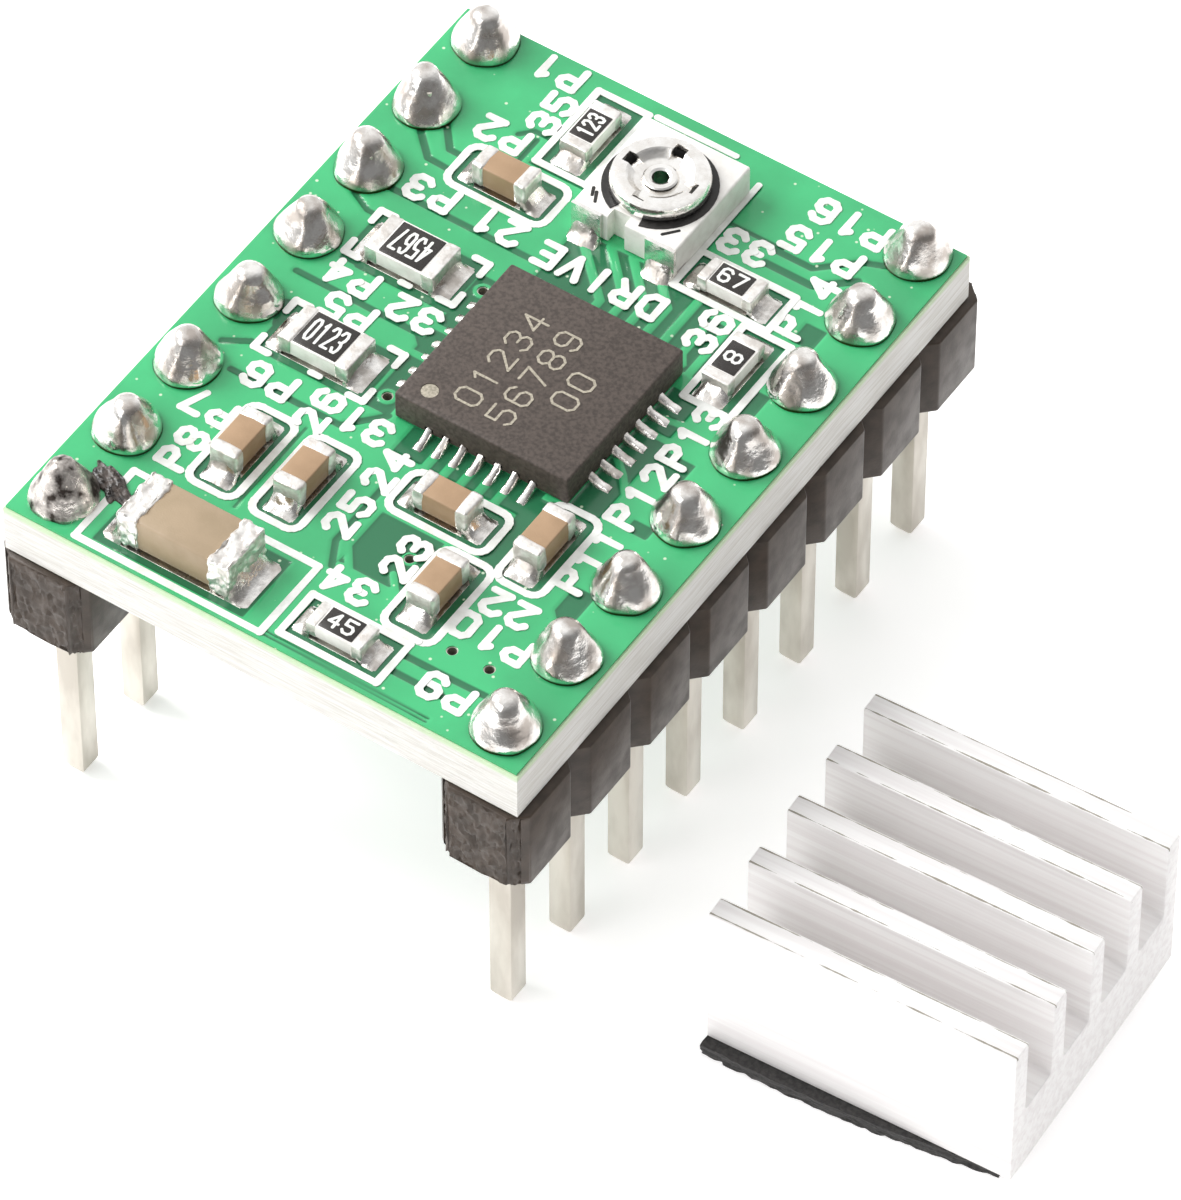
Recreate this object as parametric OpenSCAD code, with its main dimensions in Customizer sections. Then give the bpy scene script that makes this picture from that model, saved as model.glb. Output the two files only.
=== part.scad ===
// Stepper driver module: a small breakout board on two pin strips, with its finned heat sink beside it.
// The origin lies between the two pin rows, in the plane of the pin tips. The rows run along Y.

/* [Board] */
// Width of the board, across the two pin rows
board_w = 14.8; // [14.5:0.1:15.2]
// Length of the board, along the pin rows
board_l = 19.6; // [19.5:0.1:20.4]
// How far the board's middle lies from the middle of the pins, along the rows
board_shift = -0.16; // [-0.2:0.01:0.2]
// Thickness of the glass-fibre core
core_t = 1.46; // [0.8:0.01:1.6]
// Thickness of each copper layer
copper_t = 0.04; // [0.03:0.01:0.07]
// Thickness of each solder mask layer
mask_t = 0.03; // [0.02:0.01:0.04]
// Thickness of the printed legend
legend_t = 0.02; // [0.01:0.01:0.03]
// Width of the printed legend's lines
legend_w = 0.22; // [0.15:0.01:0.25]
// Drilled diameter of the pin holes
hole_d = 1.06; // [1.02:0.01:1.1]
// Thickness of the plating inside each hole
plating_t = 0.03; // [0.02:0.01:0.04]
// Diameter of the round pads at the pins
pad_d = 1.74; // [1.5:0.01:1.9]
// Drilled diameter of the small vias
via_d = 0.3; // [0.2:0.05:0.4]

/* [Pin strips] */
// Number of pins in each row
pins_per_row = 8; // [8]
// Spacing of the pins along a row
pitch = 2.54; // [2.54]
// Spacing of the two rows
row_spacing = 12.7; // [12.7]
// Width of the square pins
pin_w = 0.64; // [0.6:0.01:0.64]
// Length of the pins below the plastic strip
pin_below = 6; // [5:0.1:8]
// Length of the pins above the board
pin_above = 0.85; // [0.4:0.05:1]
// Length of the tapered pin tips
pin_taper = 0.55; // [0.3:0.05:0.8]
// Width of the flat end of a pin tip
pin_tip_w = 0.3; // [0.2:0.05:0.4]
// Height of the plastic strips
strip_h = 2.54; // [2:0.01:2.6]
// Width of the plastic strips
strip_w = 2.54; // [2.2:0.01:2.54]
// Size of the chamfered notches between the positions of a strip
strip_notch = 0.42; // [0.2:0.01:0.6]
// Height of the soldered cones above the board
solder_h = 1.22; // [1:0.01:1.4]

/* [Driver chip] */
// Side of the square chip package
chip_w = 5; // [5]
// Height of the chip package
chip_h = 0.86; // [0.8:0.01:0.95]
// Where the chip's middle lies: X
chip_x = 1.25; // [1:0.05:1.5]
// Where the chip's middle lies: Y
chip_y = 0.05; // [-0.2:0.05:0.3]
// Leads on each side of the chip
leads_per_side = 7; // [7]
// Spacing of the leads
lead_pitch = 0.5; // [0.5]

/* [Trimmer] */
// Where the trimmer's axis lies: X
pot_x = 0.36; // [0.2:0.02:0.5]
// Where the trimmer's axis lies: Y
pot_y = 6.62; // [6.5:0.02:6.8]
// Width of the trimmer
pot_w = 3; // [3:0.05:3.2]
// Length of the trimmer over its terminals
pot_l = 3.5; // [3.4:0.05:3.6]
// Height of the trimmer's ceramic base
pot_h = 0.92; // [0.8:0.01:1]
// Radius of the rotor
rotor_r = 1.26; // [1.2:0.01:1.42]

/* [Heat sink] */
// Length of the heat sink, along its fins
sink_l = 8.4; // [6:0.1:9]
// Width of the heat sink, across its fins
sink_w = 7.9; // [7:0.1:9]
// Height of the heat sink without its pad
sink_h = 4.75; // [4:0.05:8]
// Thickness of the plate under the fins
sink_base_t = 2.15; // [1:0.05:3]
// Number of fins
fin_count = 5; // [4:1:6]
// Thickness of a fin
fin_t = 0.6; // [0.4:0.05:0.9]
// Thickness of the adhesive pad
sink_pad_t = 0.35; // [0.2:0.05:0.6]
// Where the heat sink's middle lies: X
sink_x = 15.2; // [13:0.1:20]
// Where the heat sink's middle lies: Y
sink_y = -3.4; // [-6:0.1:6]
// How far the heat sink is turned, in degrees
sink_turn = 2.8; // [-5:0.1:5]

/* [Hidden] */
$fn = 48;
// Heights of the layers, from the pin tips up
board_bottom = pin_below + strip_h;
core_bottom = board_bottom + mask_t + copper_t;
core_top = core_bottom + core_t;
pad_top = core_top + copper_t;
board_top = pad_top + mask_t;
// Parts stand on a thin layer of solder
solder_gap = 0.06;
seat_z = pad_top + solder_gap;
// Places of the rows and of the pins along a row
left_x = -row_spacing / 2;
right_x = row_spacing / 2;
pin_ys = [for (i = [0 : pins_per_row - 1]) (i - (pins_per_row - 1) / 2) * pitch];
mask_opening_margin = 0.05;
mask_inset = 0.05;
plane_inset = 0.4;
plane_gap = 0.25;
via_ring = 0.2;
// Ground pins of the left row, counted from 0 at the near end
ground_pins = [1, 7];
// Places of the vias
vias = [[-1.77, 2.07], [-1.77, -2], [1.57, -5.9], [4, -7.67], [5.05, -7.65]];

// Printed frames round the parts: a place [x, y] and an outer size
round_frames = [
    [[-3.66, -5.38], [1.6, 3.05]],
    [[-1.84, -5.36], [1.6, 3.05]],
    [[1.53, -4.2], [3.05, 1.6]],
    [[-3.2, 5.23], [3.1, 1.65]],
    [[4.15, -3.86], [1.5, 3]],
    [[2.78, -6.5], [1.65, 3]]
];
square_frames = [
    [[-2.76, -8.53], [5.58, 2.64]],
    [[-2.36, 7.7], [1.7, 3]],
    [[1.69, -8.78], [3, 1.62]],
    [[3.3, 5.45], [2.95, 1.5]],
    [[4.78, 3.33], [1.55, 2.9]]
];
bracket_frames = [
    [[-3.75, -1.6], [3.4, 2]],
    [[-3.7, 2.05], [3.4, 1.8]]
];
frame_corner = 0.42;
bracket_arm = 0.62;

// Body sizes of the chip parts: length, width and height
size_0603 = [1.6, 0.8, 0.72];
size_0603_flat = [1.6, 0.8, 0.45];
size_0805_flat = [2.05, 1.25, 0.52];
size_1206 = [3.25, 1.55, 1.05];
// Each part has a place [x, y], a turn in degrees, a size, and how far its metal ends reach inward
capacitors = [
    [[-3.66, -5.38], 90, size_0603, 0.36],
    [[-1.84, -5.36], 90, size_0603, 0.36],
    [[1.5, -4.2], 0, size_0603, 0.36],
    [[-3.2, 5.2], 0, size_0603, 0.36],
    [[4.04, -3.86], 90, size_0603, 0.36],
    [[2.74, -6.42], 90, size_0603, 0.36],
    [[-2.87, -8.56], 0, size_1206, 0.6]
];
resistors = [
    [[-2.38, 7.66], 90, size_0603_flat, 0.3],
    [[1.64, -8.78], 0, size_0603_flat, 0.3],
    [[3.28, 5.4], 0, size_0603_flat, 0.3],
    [[4.68, 3.3], 90, size_0603_flat, 0.3],
    [[-3.78, -1.65], 0, size_0805_flat, 0.38],
    [[-3.72, 1.9], 0, size_0805_flat, 0.38]
];
// Thickness of the metal that wraps the ends of the chip parts
wrap_t = 0.03;
glaze_t = 0.03;
// How far a pad and its solder reach beyond and under the end of a part
fillet_l = 0.36;
pad_inside = 0.3;
pad_side = 0.05;
fillet_edge = 0.04;
// How far up the end of a part its solder climbs, as a share of the part's height
fillet_climb = 0.6;
pot_fillet_h = 0.45;
glaze_side = 0.07;
glaze_end = 0.02;

// The chip package
lead_w = 0.25;
lead_l = 0.5;
lead_t = 0.2;
lead_pad_out = 0.55;
thermal_w = 3.3;
thermal_t = 0.2;
die_w = 3.2;
die_t = 0.25;
wire_t = 0.04;
wire_rise = 0.12;
wire_inset = 0.07;
side_turns = [0, 90, 180, 270];
lead_offsets = [for (i = [0 : leads_per_side - 1]) (i - (leads_per_side - 1) / 2) * lead_pitch];

// The trimmer, with its heights above the top of its ceramic base
pot_base_top = seat_z + pot_h;
strap_t = 0.1;
strap_w = 0.85;
strap_foot = 0.55;
pot_mid_y = 6.7;
pot_mid_x = pot_x;
terminal_pad_l = 0.8;
wiper_rise = 0.7;
key_notch_w = 0.5;
key_notch_l = 0.4;
plate_t = 0.12;
flange_t = 0.06;
rivet_r = 0.34;
rivet_bore_r = 0.22;
rivet_lip = 0.1;
rivet_lip_t = 0.06;
bore_clearance = 0.02;
rotor_sheet = 0.12;
rotor_h = 0.46;
rotor_floor = 0.24;
rotor_rim = 0.1;
// Where the rotor's sunk floor ends and its raised ring begins
rotor_floor_r = 0.62;
rotor_ring_r = 0.78;
slot_l = 2.04;
slot_w = 0.34;
track_r = rotor_r - rotor_sheet / 2;
track_w = 0.5;
track_t = 0.03;
track_gap_middle = -96;
track_gap = 36;
// The finger stands over the middle of the track and keeps a hair's breadth from it
finger_l = 0.3;
finger_gap = 0.01;

// How much smaller the adhesive pad is than the heat sink
sink_pad_short = 0.4;
sink_pad_narrow = 0.3;
// The pad is stuck on a little towards the near side, so that its edge shows
sink_pad_shift = 0.45;

// A block that stands on z, centred on the Z axis
module block(size, z = 0) {
    translate([-size[0] / 2, -size[1] / 2, z])
        cube(size);
}

// Puts its children at a chip part's place and turn
module at_part(part) {
    translate([part[0][0], part[0][1], 0])
        rotate(part[1])
            children();
}

// Puts its children at every pin of both rows
module at_pins() {
    for (x = [left_x, right_x], y = pin_ys)
        translate([x, y, 0])
            children();
}

// Puts its children at every lead of the chip, with +X outward and the origin at the package's edge
module at_leads() {
    translate([chip_x, chip_y, 0])
        for (turn = side_turns, offset = lead_offsets)
            rotate(turn)
                translate([chip_w / 2, offset, 0])
                    children();
}

// Puts its children at both ends of a chip part, with +X outward and the origin in the end's plane
module at_ends(part) {
    at_part(part)
        for (side = [0, 180])
            rotate(side)
                translate([part[2][0] / 2, 0, 0])
                    children();
}

// ---- Board ----

// The outline of the board, made smaller all round by the inset
module board_slab(inset, z, height) {
    translate([0, board_shift, 0])
        block([board_w - 2 * inset, board_l - 2 * inset, height], z);
}

module pin_holes(diameter) {
    at_pins()
        translate([0, 0, board_bottom - 1])
            cylinder(d = diameter, h = core_t + 2);
}

module via_holes(diameter) {
    for (p = vias)
        translate([p[0], p[1], board_bottom - 1])
            cylinder(d = diameter, h = core_t + 2);
}

module board_core() {
    color("honeydew")
        difference() {
            board_slab(0, core_bottom, core_t);
            pin_holes(hole_d);
            via_holes(via_d);
        }
}

// A straight copper track between two points
module track(start, end, width) {
    run = end - start;
    translate([start[0], start[1], 0])
        rotate(atan2(run[1], run[0]))
            translate([0, -width / 2, 0])
                square([norm(run), width]);
    translate([end[0], end[1], 0])
        circle(d = width, $fn = 24);
}

// A copper track through a list of points
module track_path(points, width) {
    translate([points[0][0], points[0][1], 0])
        circle(d = width, $fn = 24);
    for (i = [1 : len(points) - 1])
        track(points[i - 1], points[i], width);
}

// The pads of the surface-mounted parts, grown by a margin
module part_pads(margin) {
    for (part = concat(capacitors, resistors)) {
        at_ends(part)
            translate([-pad_inside - margin, -part[2][1] / 2 - pad_side - margin, 0])
                square([pad_inside + fillet_l + 2 * margin, part[2][1] + 2 * (pad_side + margin)]);
    }
    at_leads()
        translate([-lead_l - margin, -lead_w / 2 - margin, 0])
            square([lead_l + lead_pad_out + 2 * margin, lead_w + 2 * margin]);
    translate([chip_x, chip_y, 0])
        square(thermal_w + 2 * margin, center = true);
    translate([pot_mid_x, pot_mid_y, 0])
        pot_pads(margin);
}

// Two pads at the trimmer's near end and one at its far end
module pot_pads(margin) {
    size = [strap_w + 2 * margin, terminal_pad_l + 2 * margin];
    for (x = [-1, 1])
        translate([x * (pot_w - strap_w) / 2, -pot_l / 2, 0])
            square(size, center = true);
    translate([0, pot_l / 2, 0])
        square(size, center = true);
}

// Tracks from the pins to the chip and the power parts on the top side
module top_tracks() {
    track_path([[left_x, 1.27], [-5, 1.9], [-4.2, 1.9]], 0.5);
    track_path([[left_x, -1.27], [-5, -1.65], [-4.2, -1.65]], 0.5);
    track_path([[left_x, -3.81], [-5.2, -2.9], [-2.6, -2.9], [-1.6, -1.45]], 0.22);
    track_path([[left_x, 3.81], [-5.2, 3.1], [-2.2, 3.1], [-1.5, 1.55]], 0.22);
    track_path([[left_x, 6.35], [-5.2, 5.3], [-4.1, 5.2]], 0.22);
    track_path([[left_x, -8.89], [-5, -8.6], [-4.2, -8.6]], 0.9);
    track_path([[left_x, -6.35], [-5, -7.1], [-1.4, -7.1], [-1.4, -8.2]], 0.3);
    track_path([[-4.2, -2], [-4.2, -4.4], [-3.66, -4.9]], 0.22);
    track_path([[-1.84, -4.7], [-1.2, -4], [-1.2, -2.6], [-0.25, -2.6]], 0.22);
    track_path([[right_x, -6.35], [5.2, -5.4], [5.2, -3.2], [4.2, -2], [4, -1.45]], 0.22);
    track_path([[right_x, -3.81], [5.4, -2.6], [4.5, -0.95], [4, -0.95]], 0.22);
    track_path([[right_x, -1.27], [5.6, -0.45], [4, -0.45]], 0.22);
    track_path([[right_x, 1.27], [5.6, 0.55], [4, 0.55]], 0.22);
    track_path([[right_x, 3.81], [5.6, 2.2], [4.5, 1.05], [4, 1.05]], 0.22);
    track_path([[right_x, 6.35], [5.4, 6.9], [2.7, 6.9], [2.7, 3.1], [2.75, 2.8]], 0.22);
    track_path([[right_x, 8.89], [5.2, 7.6], [2.2, 7.6], [2.2, 3.6], [2.25, 2.8]], 0.22);
    track_path([[right_x, -8.89], [3.2, -8.7], [2.4, -8.78]], 0.22);
}

module copper_top() {
    color("gold")
        difference() {
            translate([0, 0, core_top])
                linear_extrude(copper_t) {
                    for (x = [left_x, right_x], y = pin_ys)
                        translate([x, y, 0])
                            circle(d = pad_d);
                    for (p = vias)
                        translate([p[0], p[1], 0])
                            circle(d = via_d + 2 * via_ring, $fn = 24);
                    part_pads(0);
                    top_tracks();
                }
            pin_holes(hole_d);
            via_holes(via_d);
        }
}

// Puts its children at every pin but the ground pins
module at_live_pins() {
    for (i = [0 : pins_per_row - 1]) {
        translate([right_x, pin_ys[i], 0])
            children();
        if (len(search(i, ground_pins)) == 0)
            translate([left_x, pin_ys[i], 0])
                children();
    }
}

// The underside is one ground plane, joined to the ground pins and clear of the others
module copper_bottom() {
    z = board_bottom + mask_t;
    color("gold")
        difference() {
            board_slab(plane_inset, z, copper_t);
            difference() {
                at_live_pins()
                    translate([0, 0, board_bottom])
                        cylinder(d = pad_d + 2 * plane_gap, h = 1);
                at_pins()
                    translate([0, 0, board_bottom])
                        cylinder(d = pad_d, h = 1);
            }
            pin_holes(hole_d);
            via_holes(via_d);
        }
}

module solder_mask_top() {
    color("mediumseagreen")
        difference() {
            board_slab(mask_inset, pad_top, mask_t);
            at_pins()
                translate([0, 0, core_top])
                    cylinder(d = pad_d + 2 * mask_opening_margin, h = 1);
            translate([0, 0, core_top])
                linear_extrude(1)
                    part_pads(mask_opening_margin);
            via_holes(via_d);
        }
}

module solder_mask_bottom() {
    color("mediumseagreen")
        difference() {
            board_slab(mask_inset, board_bottom, mask_t);
            at_pins()
                translate([0, 0, board_bottom - 0.5])
                    cylinder(d = pad_d + 2 * mask_opening_margin, h = 1);
        }
}

// A printed frame around a part, with rounded corners if the radius is above 0
module legend_frame(place, size, radius) {
    translate([place[0], place[1], board_top])
        linear_extrude(legend_t)
            difference() {
                rounded_plate(size, radius);
                rounded_plate([size[0] - 2 * legend_w, size[1] - 2 * legend_w], radius - legend_w);
            }
}

module rounded_plate(size, radius) {
    if (radius > 0) {
        square([size[0] - 2 * radius, size[1]], center = true);
        square([size[0], size[1] - 2 * radius], center = true);
        for (x = [-1, 1], y = [-1, 1])
            translate([x * (size[0] / 2 - radius), y * (size[1] / 2 - radius), 0])
                circle(radius, $fn = 32);
    } else {
        square(size, center = true);
    }
}

// Four printed corner brackets around a part
module legend_brackets(place, size, arm) {
    translate([place[0], place[1], board_top])
        linear_extrude(legend_t)
            for (x = [-1, 1], y = [-1, 1])
                translate([x * size[0] / 2, y * size[1] / 2, 0])
                    scale([-x, -y, 1]) {
                        square([arm, legend_w]);
                        square([legend_w, arm]);
                    }
}

module silkscreen_top() {
    color("white") {
        for (frame = round_frames)
            legend_frame(frame[0], frame[1], frame_corner);
        for (frame = square_frames)
            legend_frame(frame[0], frame[1], 0);
        for (frame = bracket_frames)
            legend_brackets(frame[0], frame[1], bracket_arm);
    }
}

module plated_barrels() {
    color("goldenrod") {
        at_pins()
            tube(hole_d / 2, hole_d / 2 - plating_t, core_bottom, core_t + copper_t);
        for (p = vias)
            translate([p[0], p[1], 0])
                tube(via_d / 2, via_d / 2 - plating_t, core_bottom, core_t + copper_t);
    }
}

module tube(outer_r, inner_r, z, height) {
    translate([0, 0, z])
        difference() {
            cylinder(r = outer_r, h = height);
            translate([0, 0, -1])
                cylinder(r = inner_r, h = height + 2);
        }
}

// ---- Pin strips ----

// The plastic strip, centred on its row, with a chamfered notch between every two positions
module strip_body() {
    half = strip_w / 2;
    step = pitch / 2;
    cut = strip_notch;
    translate([0, 0, pin_below])
        difference() {
            linear_extrude(strip_h)
                for (y = pin_ys)
                    translate([0, y, 0])
                        polygon([
                            [half, cut - step],
                            [half, step - cut],
                            [half - cut, step],
                            [cut - half, step],
                            [-half, step - cut],
                            [-half, cut - step],
                            [cut - half, -step],
                            [half - cut, -step]
                        ]);
            for (y = pin_ys)
                translate([0, y, 0])
                    block([pin_w, pin_w, strip_h + 2], -1);
        }
}

// The side view of a pin, from its tapered tip to its top
module pin_profile() {
    top = board_top + pin_above;
    polygon([
        [-pin_tip_w / 2, 0],
        [pin_tip_w / 2, 0],
        [pin_w / 2, pin_taper],
        [pin_w / 2, top],
        [-pin_w / 2, top],
        [-pin_w / 2, pin_taper]
    ]);
}

module pin() {
    intersection() {
        rotate([90, 0, 0])
            linear_extrude(pin_w, center = true)
                pin_profile();
        rotate([90, 0, 90])
            linear_extrude(pin_w, center = true)
                pin_profile();
    }
}

module pin_row(x) {
    color("silver")
        for (y = pin_ys)
            translate([x, y, 0])
                pin();
}

// Solder fills each barrel and rises to a cone around the pin
module solder_row(x) {
    pad_r = pad_d / 2;
    color("gainsboro")
        for (y = pin_ys)
            translate([x, y, 0])
                difference() {
                    union() {
                        translate([0, 0, core_bottom])
                            cylinder(r = hole_d / 2 - plating_t, h = pad_top - core_bottom);
                        translate([0, 0, pad_top])
                            rotate_extrude()
                                polygon([
                                    [0, 0],
                                    [pad_r, 0],
                                    [pad_r - 0.03, 0.22],
                                    [pad_r - 0.24, 0.62],
                                    [0.5, 0.95],
                                    [0.3, solder_h - 0.06],
                                    [0, solder_h]
                                ]);
                    }
                    block([pin_w, pin_w, board_top + pin_above], 0);
                }
}

module header_body_left() {
    color("dimgray")
        translate([left_x, 0, 0])
            strip_body();
}

module header_body_right() {
    color("dimgray")
        translate([right_x, 0, 0])
            strip_body();
}

module header_pins_left() {
    pin_row(left_x);
}

module header_pins_right() {
    pin_row(right_x);
}

module solder_joints_left() {
    solder_row(left_x);
}

module solder_joints_right() {
    solder_row(right_x);
}

// ---- Driver chip ----

module chip_lead_blocks() {
    at_leads()
        translate([-lead_l, -lead_w / 2, seat_z])
            cube([lead_l, lead_w, lead_t]);
}

module chip_pad_block() {
    translate([chip_x, chip_y, 0])
        block([thermal_w, thermal_w, thermal_t], seat_z);
}

module chip_die_block() {
    translate([chip_x, chip_y, 0])
        block([die_w, die_w, die_t], seat_z + thermal_t);
}

// A wire rises from the edge of the die, runs outward and drops to its lead
module chip_wire_bars() {
    die_top = seat_z + thermal_t + die_t;
    inner = (die_w - chip_w) / 2 - wire_inset;
    outer = -lead_l / 2;
    at_leads() {
        translate([inner, -wire_t / 2, die_top])
            cube([wire_t, wire_t, wire_rise]);
        translate([inner, -wire_t / 2, die_top + wire_rise])
            cube([outer - inner, wire_t, wire_t]);
        translate([outer - wire_t, -wire_t / 2, seat_z + lead_t])
            cube([wire_t, wire_t, thermal_t + die_t - lead_t + wire_rise]);
    }
}

module chip_package() {
    color("dimgray")
        difference() {
            translate([chip_x, chip_y, 0])
                block([chip_w, chip_w, chip_h], seat_z);
            chip_lead_blocks();
            chip_pad_block();
            chip_die_block();
            chip_wire_bars();
        }
}

module chip_leads() {
    color("silver")
        chip_lead_blocks();
}

module chip_thermal_pad() {
    color("silver")
        chip_pad_block();
}

module chip_die() {
    color("slategray")
        chip_die_block();
}

module chip_bond_wires() {
    color("gold")
        chip_wire_bars();
}

// The side view of a solder fillet, with its end face at x = 0 and its pad at height 0
module fillet_profile(inside, outside, height) {
    polygon([
        [-inside, 0],
        [outside, 0],
        [outside, fillet_edge],
        [outside * 0.4, height * 0.35],
        [0, height],
        [0, solder_gap],
        [-inside, solder_gap]
    ]);
}

// A solder fillet of a given width, standing on its pad
module fillet(inside, outside, height, width) {
    translate([0, width / 2, pad_top])
        rotate([90, 0, 0])
            linear_extrude(width)
                fillet_profile(inside, outside, height);
}

module chip_solder() {
    color("gainsboro") {
        at_leads()
            fillet(lead_l, lead_pad_out, solder_gap + lead_t, lead_w);
        translate([chip_x, chip_y, 0])
            block([thermal_w, thermal_w, solder_gap], pad_top);
    }
}

// ---- Trimmer ----

// Two straps fold around the near end, and one stands at the far end
module pot_end_straps() {
    near_y = pot_mid_y - pot_l / 2;
    for (x = [-1, 1])
        translate([pot_mid_x + x * (pot_w - strap_w) / 2, near_y, 0]) {
            translate([-strap_w / 2, 0, seat_z])
                cube([strap_w, strap_t, pot_h]);
            translate([-strap_w / 2, 0, seat_z])
                cube([strap_w, strap_foot, strap_t]);
        }
}

module pot_wiper_plate() {
    far_y = pot_mid_y + pot_l / 2;
    difference() {
        union() {
            translate([pot_x, pot_y, seat_z + flange_t])
                cylinder(r = strap_w / 2, h = plate_t);
            translate([pot_x - strap_w / 2, pot_y, seat_z + flange_t])
                cube([strap_w, far_y - pot_y, plate_t]);
            translate([pot_x - strap_w / 2, far_y - strap_t, seat_z])
                cube([strap_w, strap_t, pot_h * wiper_rise]);
        }
        translate([pot_x, pot_y, seat_z])
            cylinder(r = rivet_r, h = 1);
    }
}

module pot_base() {
    base_l = pot_l - 2 * strap_t;
    color("whitesmoke")
        difference() {
            translate([pot_mid_x, pot_mid_y, 0])
                block([pot_w, base_l, pot_h], seat_z);
            pot_end_straps();
            translate([pot_x, pot_y, seat_z - 1])
                cylinder(r = rivet_r + bore_clearance, h = 3);
            translate([pot_x, pot_y, seat_z - 1])
                cylinder(r = strap_w / 2 + bore_clearance, h = 1 + flange_t + plate_t);
            translate([pot_x - strap_w / 2 - bore_clearance, pot_y, seat_z - 1])
                cube([strap_w + 2 * bore_clearance, pot_l, 1 + flange_t + plate_t]);
            translate([pot_mid_x - key_notch_w, pot_mid_y - pot_l / 2, seat_z - 1])
                cube([key_notch_w, key_notch_l, 3]);
        }
}

// The resistive track is an open ring printed on the ceramic
module pot_track() {
    color("black")
        translate([pot_x, pot_y, pot_base_top])
            rotate(track_gap_middle + track_gap / 2)
                rotate_extrude(angle = 360 - track_gap)
                    translate([track_r - track_w / 2, 0])
                        square([track_w, track_t]);
}

// The stamped rotor: a domed cap with a sunk floor, a cross slot and a wiper finger
module pot_rotor() {
    color("silver")
        translate([pot_x, pot_y, pot_base_top]) {
            difference() {
                rotor_cap();
                for (turn = [0, 90])
                    rotate(turn)
                        block([slot_l, slot_w, 1], rotor_floor);
            }
            rotate(track_gap_middle + 180)
                translate([rotor_r - rotor_sheet, -finger_l / 2, track_t + finger_gap])
                    cube([rotor_sheet, finger_l, rotor_rim - track_t]);
        }
}

module rotor_cap() {
    bore_r = rivet_r + bore_clearance;
    inner_r = rotor_r - rotor_sheet;
    under = rotor_h - rotor_sheet;
    rotate_extrude()
        polygon([
            [bore_r, rotor_floor - rotor_sheet],
            [bore_r, rotor_floor],
            [rotor_floor_r, rotor_floor],
            [rotor_ring_r, rotor_h],
            [inner_r, rotor_h],
            [rotor_r, under],
            [rotor_r, rotor_rim],
            [inner_r, rotor_rim],
            [inner_r, under - rotor_sheet / 2],
            [rotor_ring_r + rotor_sheet, under],
            [rotor_floor_r + rotor_sheet, rotor_floor - rotor_sheet]
        ]);
}

// The hollow rivet holds the rotor and the wiper plate to the base
module pot_rivet() {
    flange_r = rivet_r + rivet_lip;
    under = pot_h + rotor_floor + bore_clearance;
    color("silver")
        translate([pot_x, pot_y, seat_z])
            rotate_extrude()
                polygon([
                    [rivet_bore_r, 0],
                    [flange_r, 0],
                    [flange_r, flange_t],
                    [rivet_r, flange_t],
                    [rivet_r, under],
                    [flange_r, under],
                    [flange_r, under + rivet_lip_t],
                    [rivet_bore_r, under + rivet_lip_t]
                ]);
}

module pot_terminals() {
    color("silver") {
        pot_end_straps();
        pot_wiper_plate();
    }
}

module pot_solder() {
    near_y = pot_mid_y - pot_l / 2;
    far_y = pot_mid_y + pot_l / 2;
    color("gainsboro") {
        for (x = [-1, 1])
            translate([pot_mid_x + x * (pot_w - strap_w) / 2, near_y, 0])
                rotate(-90)
                    fillet(fillet_l, fillet_l, pot_fillet_h, strap_w);
        translate([pot_x, far_y, 0])
            rotate(90)
                fillet(strap_t, fillet_l, pot_fillet_h, strap_w);
    }
}

// ---- Chip capacitors and resistors ----

// The ceramic block inside the metal ends of a part
module part_core(part) {
    at_part(part)
        block([for (k = part[2]) k - 2 * wrap_t], seat_z + wrap_t);
}

module part_ends(part) {
    color("gainsboro")
        difference() {
            at_ends(part)
                translate([-part[3], -part[2][1] / 2, seat_z])
                    cube([part[3], part[2][1], part[2][2]]);
            part_core(part);
        }
}

module capacitor_body(part) {
    color("burlywood")
        part_core(part);
}

module resistor_ceramic(part) {
    color("white")
        part_core(part);
}

// The dark glaze covers the resistor's top between its metal ends
module resistor_glaze(part) {
    length = part[2][0] - 2 * (part[3] + glaze_end);
    width = part[2][1] - 2 * glaze_side;
    color("dimgray")
        at_part(part)
            block([length, width, glaze_t], seat_z + part[2][2] - wrap_t);
}

module passive_solder() {
    color("gainsboro")
        for (part = concat(capacitors, resistors))
            at_ends(part)
                fillet(pad_inside, fillet_l, solder_gap + part[2][2] * fillet_climb, part[2][1]);
}

// ---- Heat sink ----

module at_sink() {
    translate([sink_x, sink_y, 0])
        rotate(sink_turn)
            children();
}

module heatsink() {
    fin_pitch = (sink_w - fin_t) / (fin_count - 1);
    color("whitesmoke")
        at_sink() {
            block([sink_l, sink_w, sink_base_t], sink_pad_t);
            for (i = [0 : fin_count - 1])
                translate([0, fin_t / 2 - sink_w / 2 + i * fin_pitch, 0])
                    block([sink_l, fin_t, sink_h - sink_base_t], sink_pad_t + sink_base_t);
        }
}

module heatsink_pad() {
    color("black")
        at_sink()
            translate([-sink_pad_short / 2, -sink_pad_shift, 0])
                block([sink_l - sink_pad_short, sink_w - sink_pad_narrow, sink_pad_t]);
}

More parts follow.
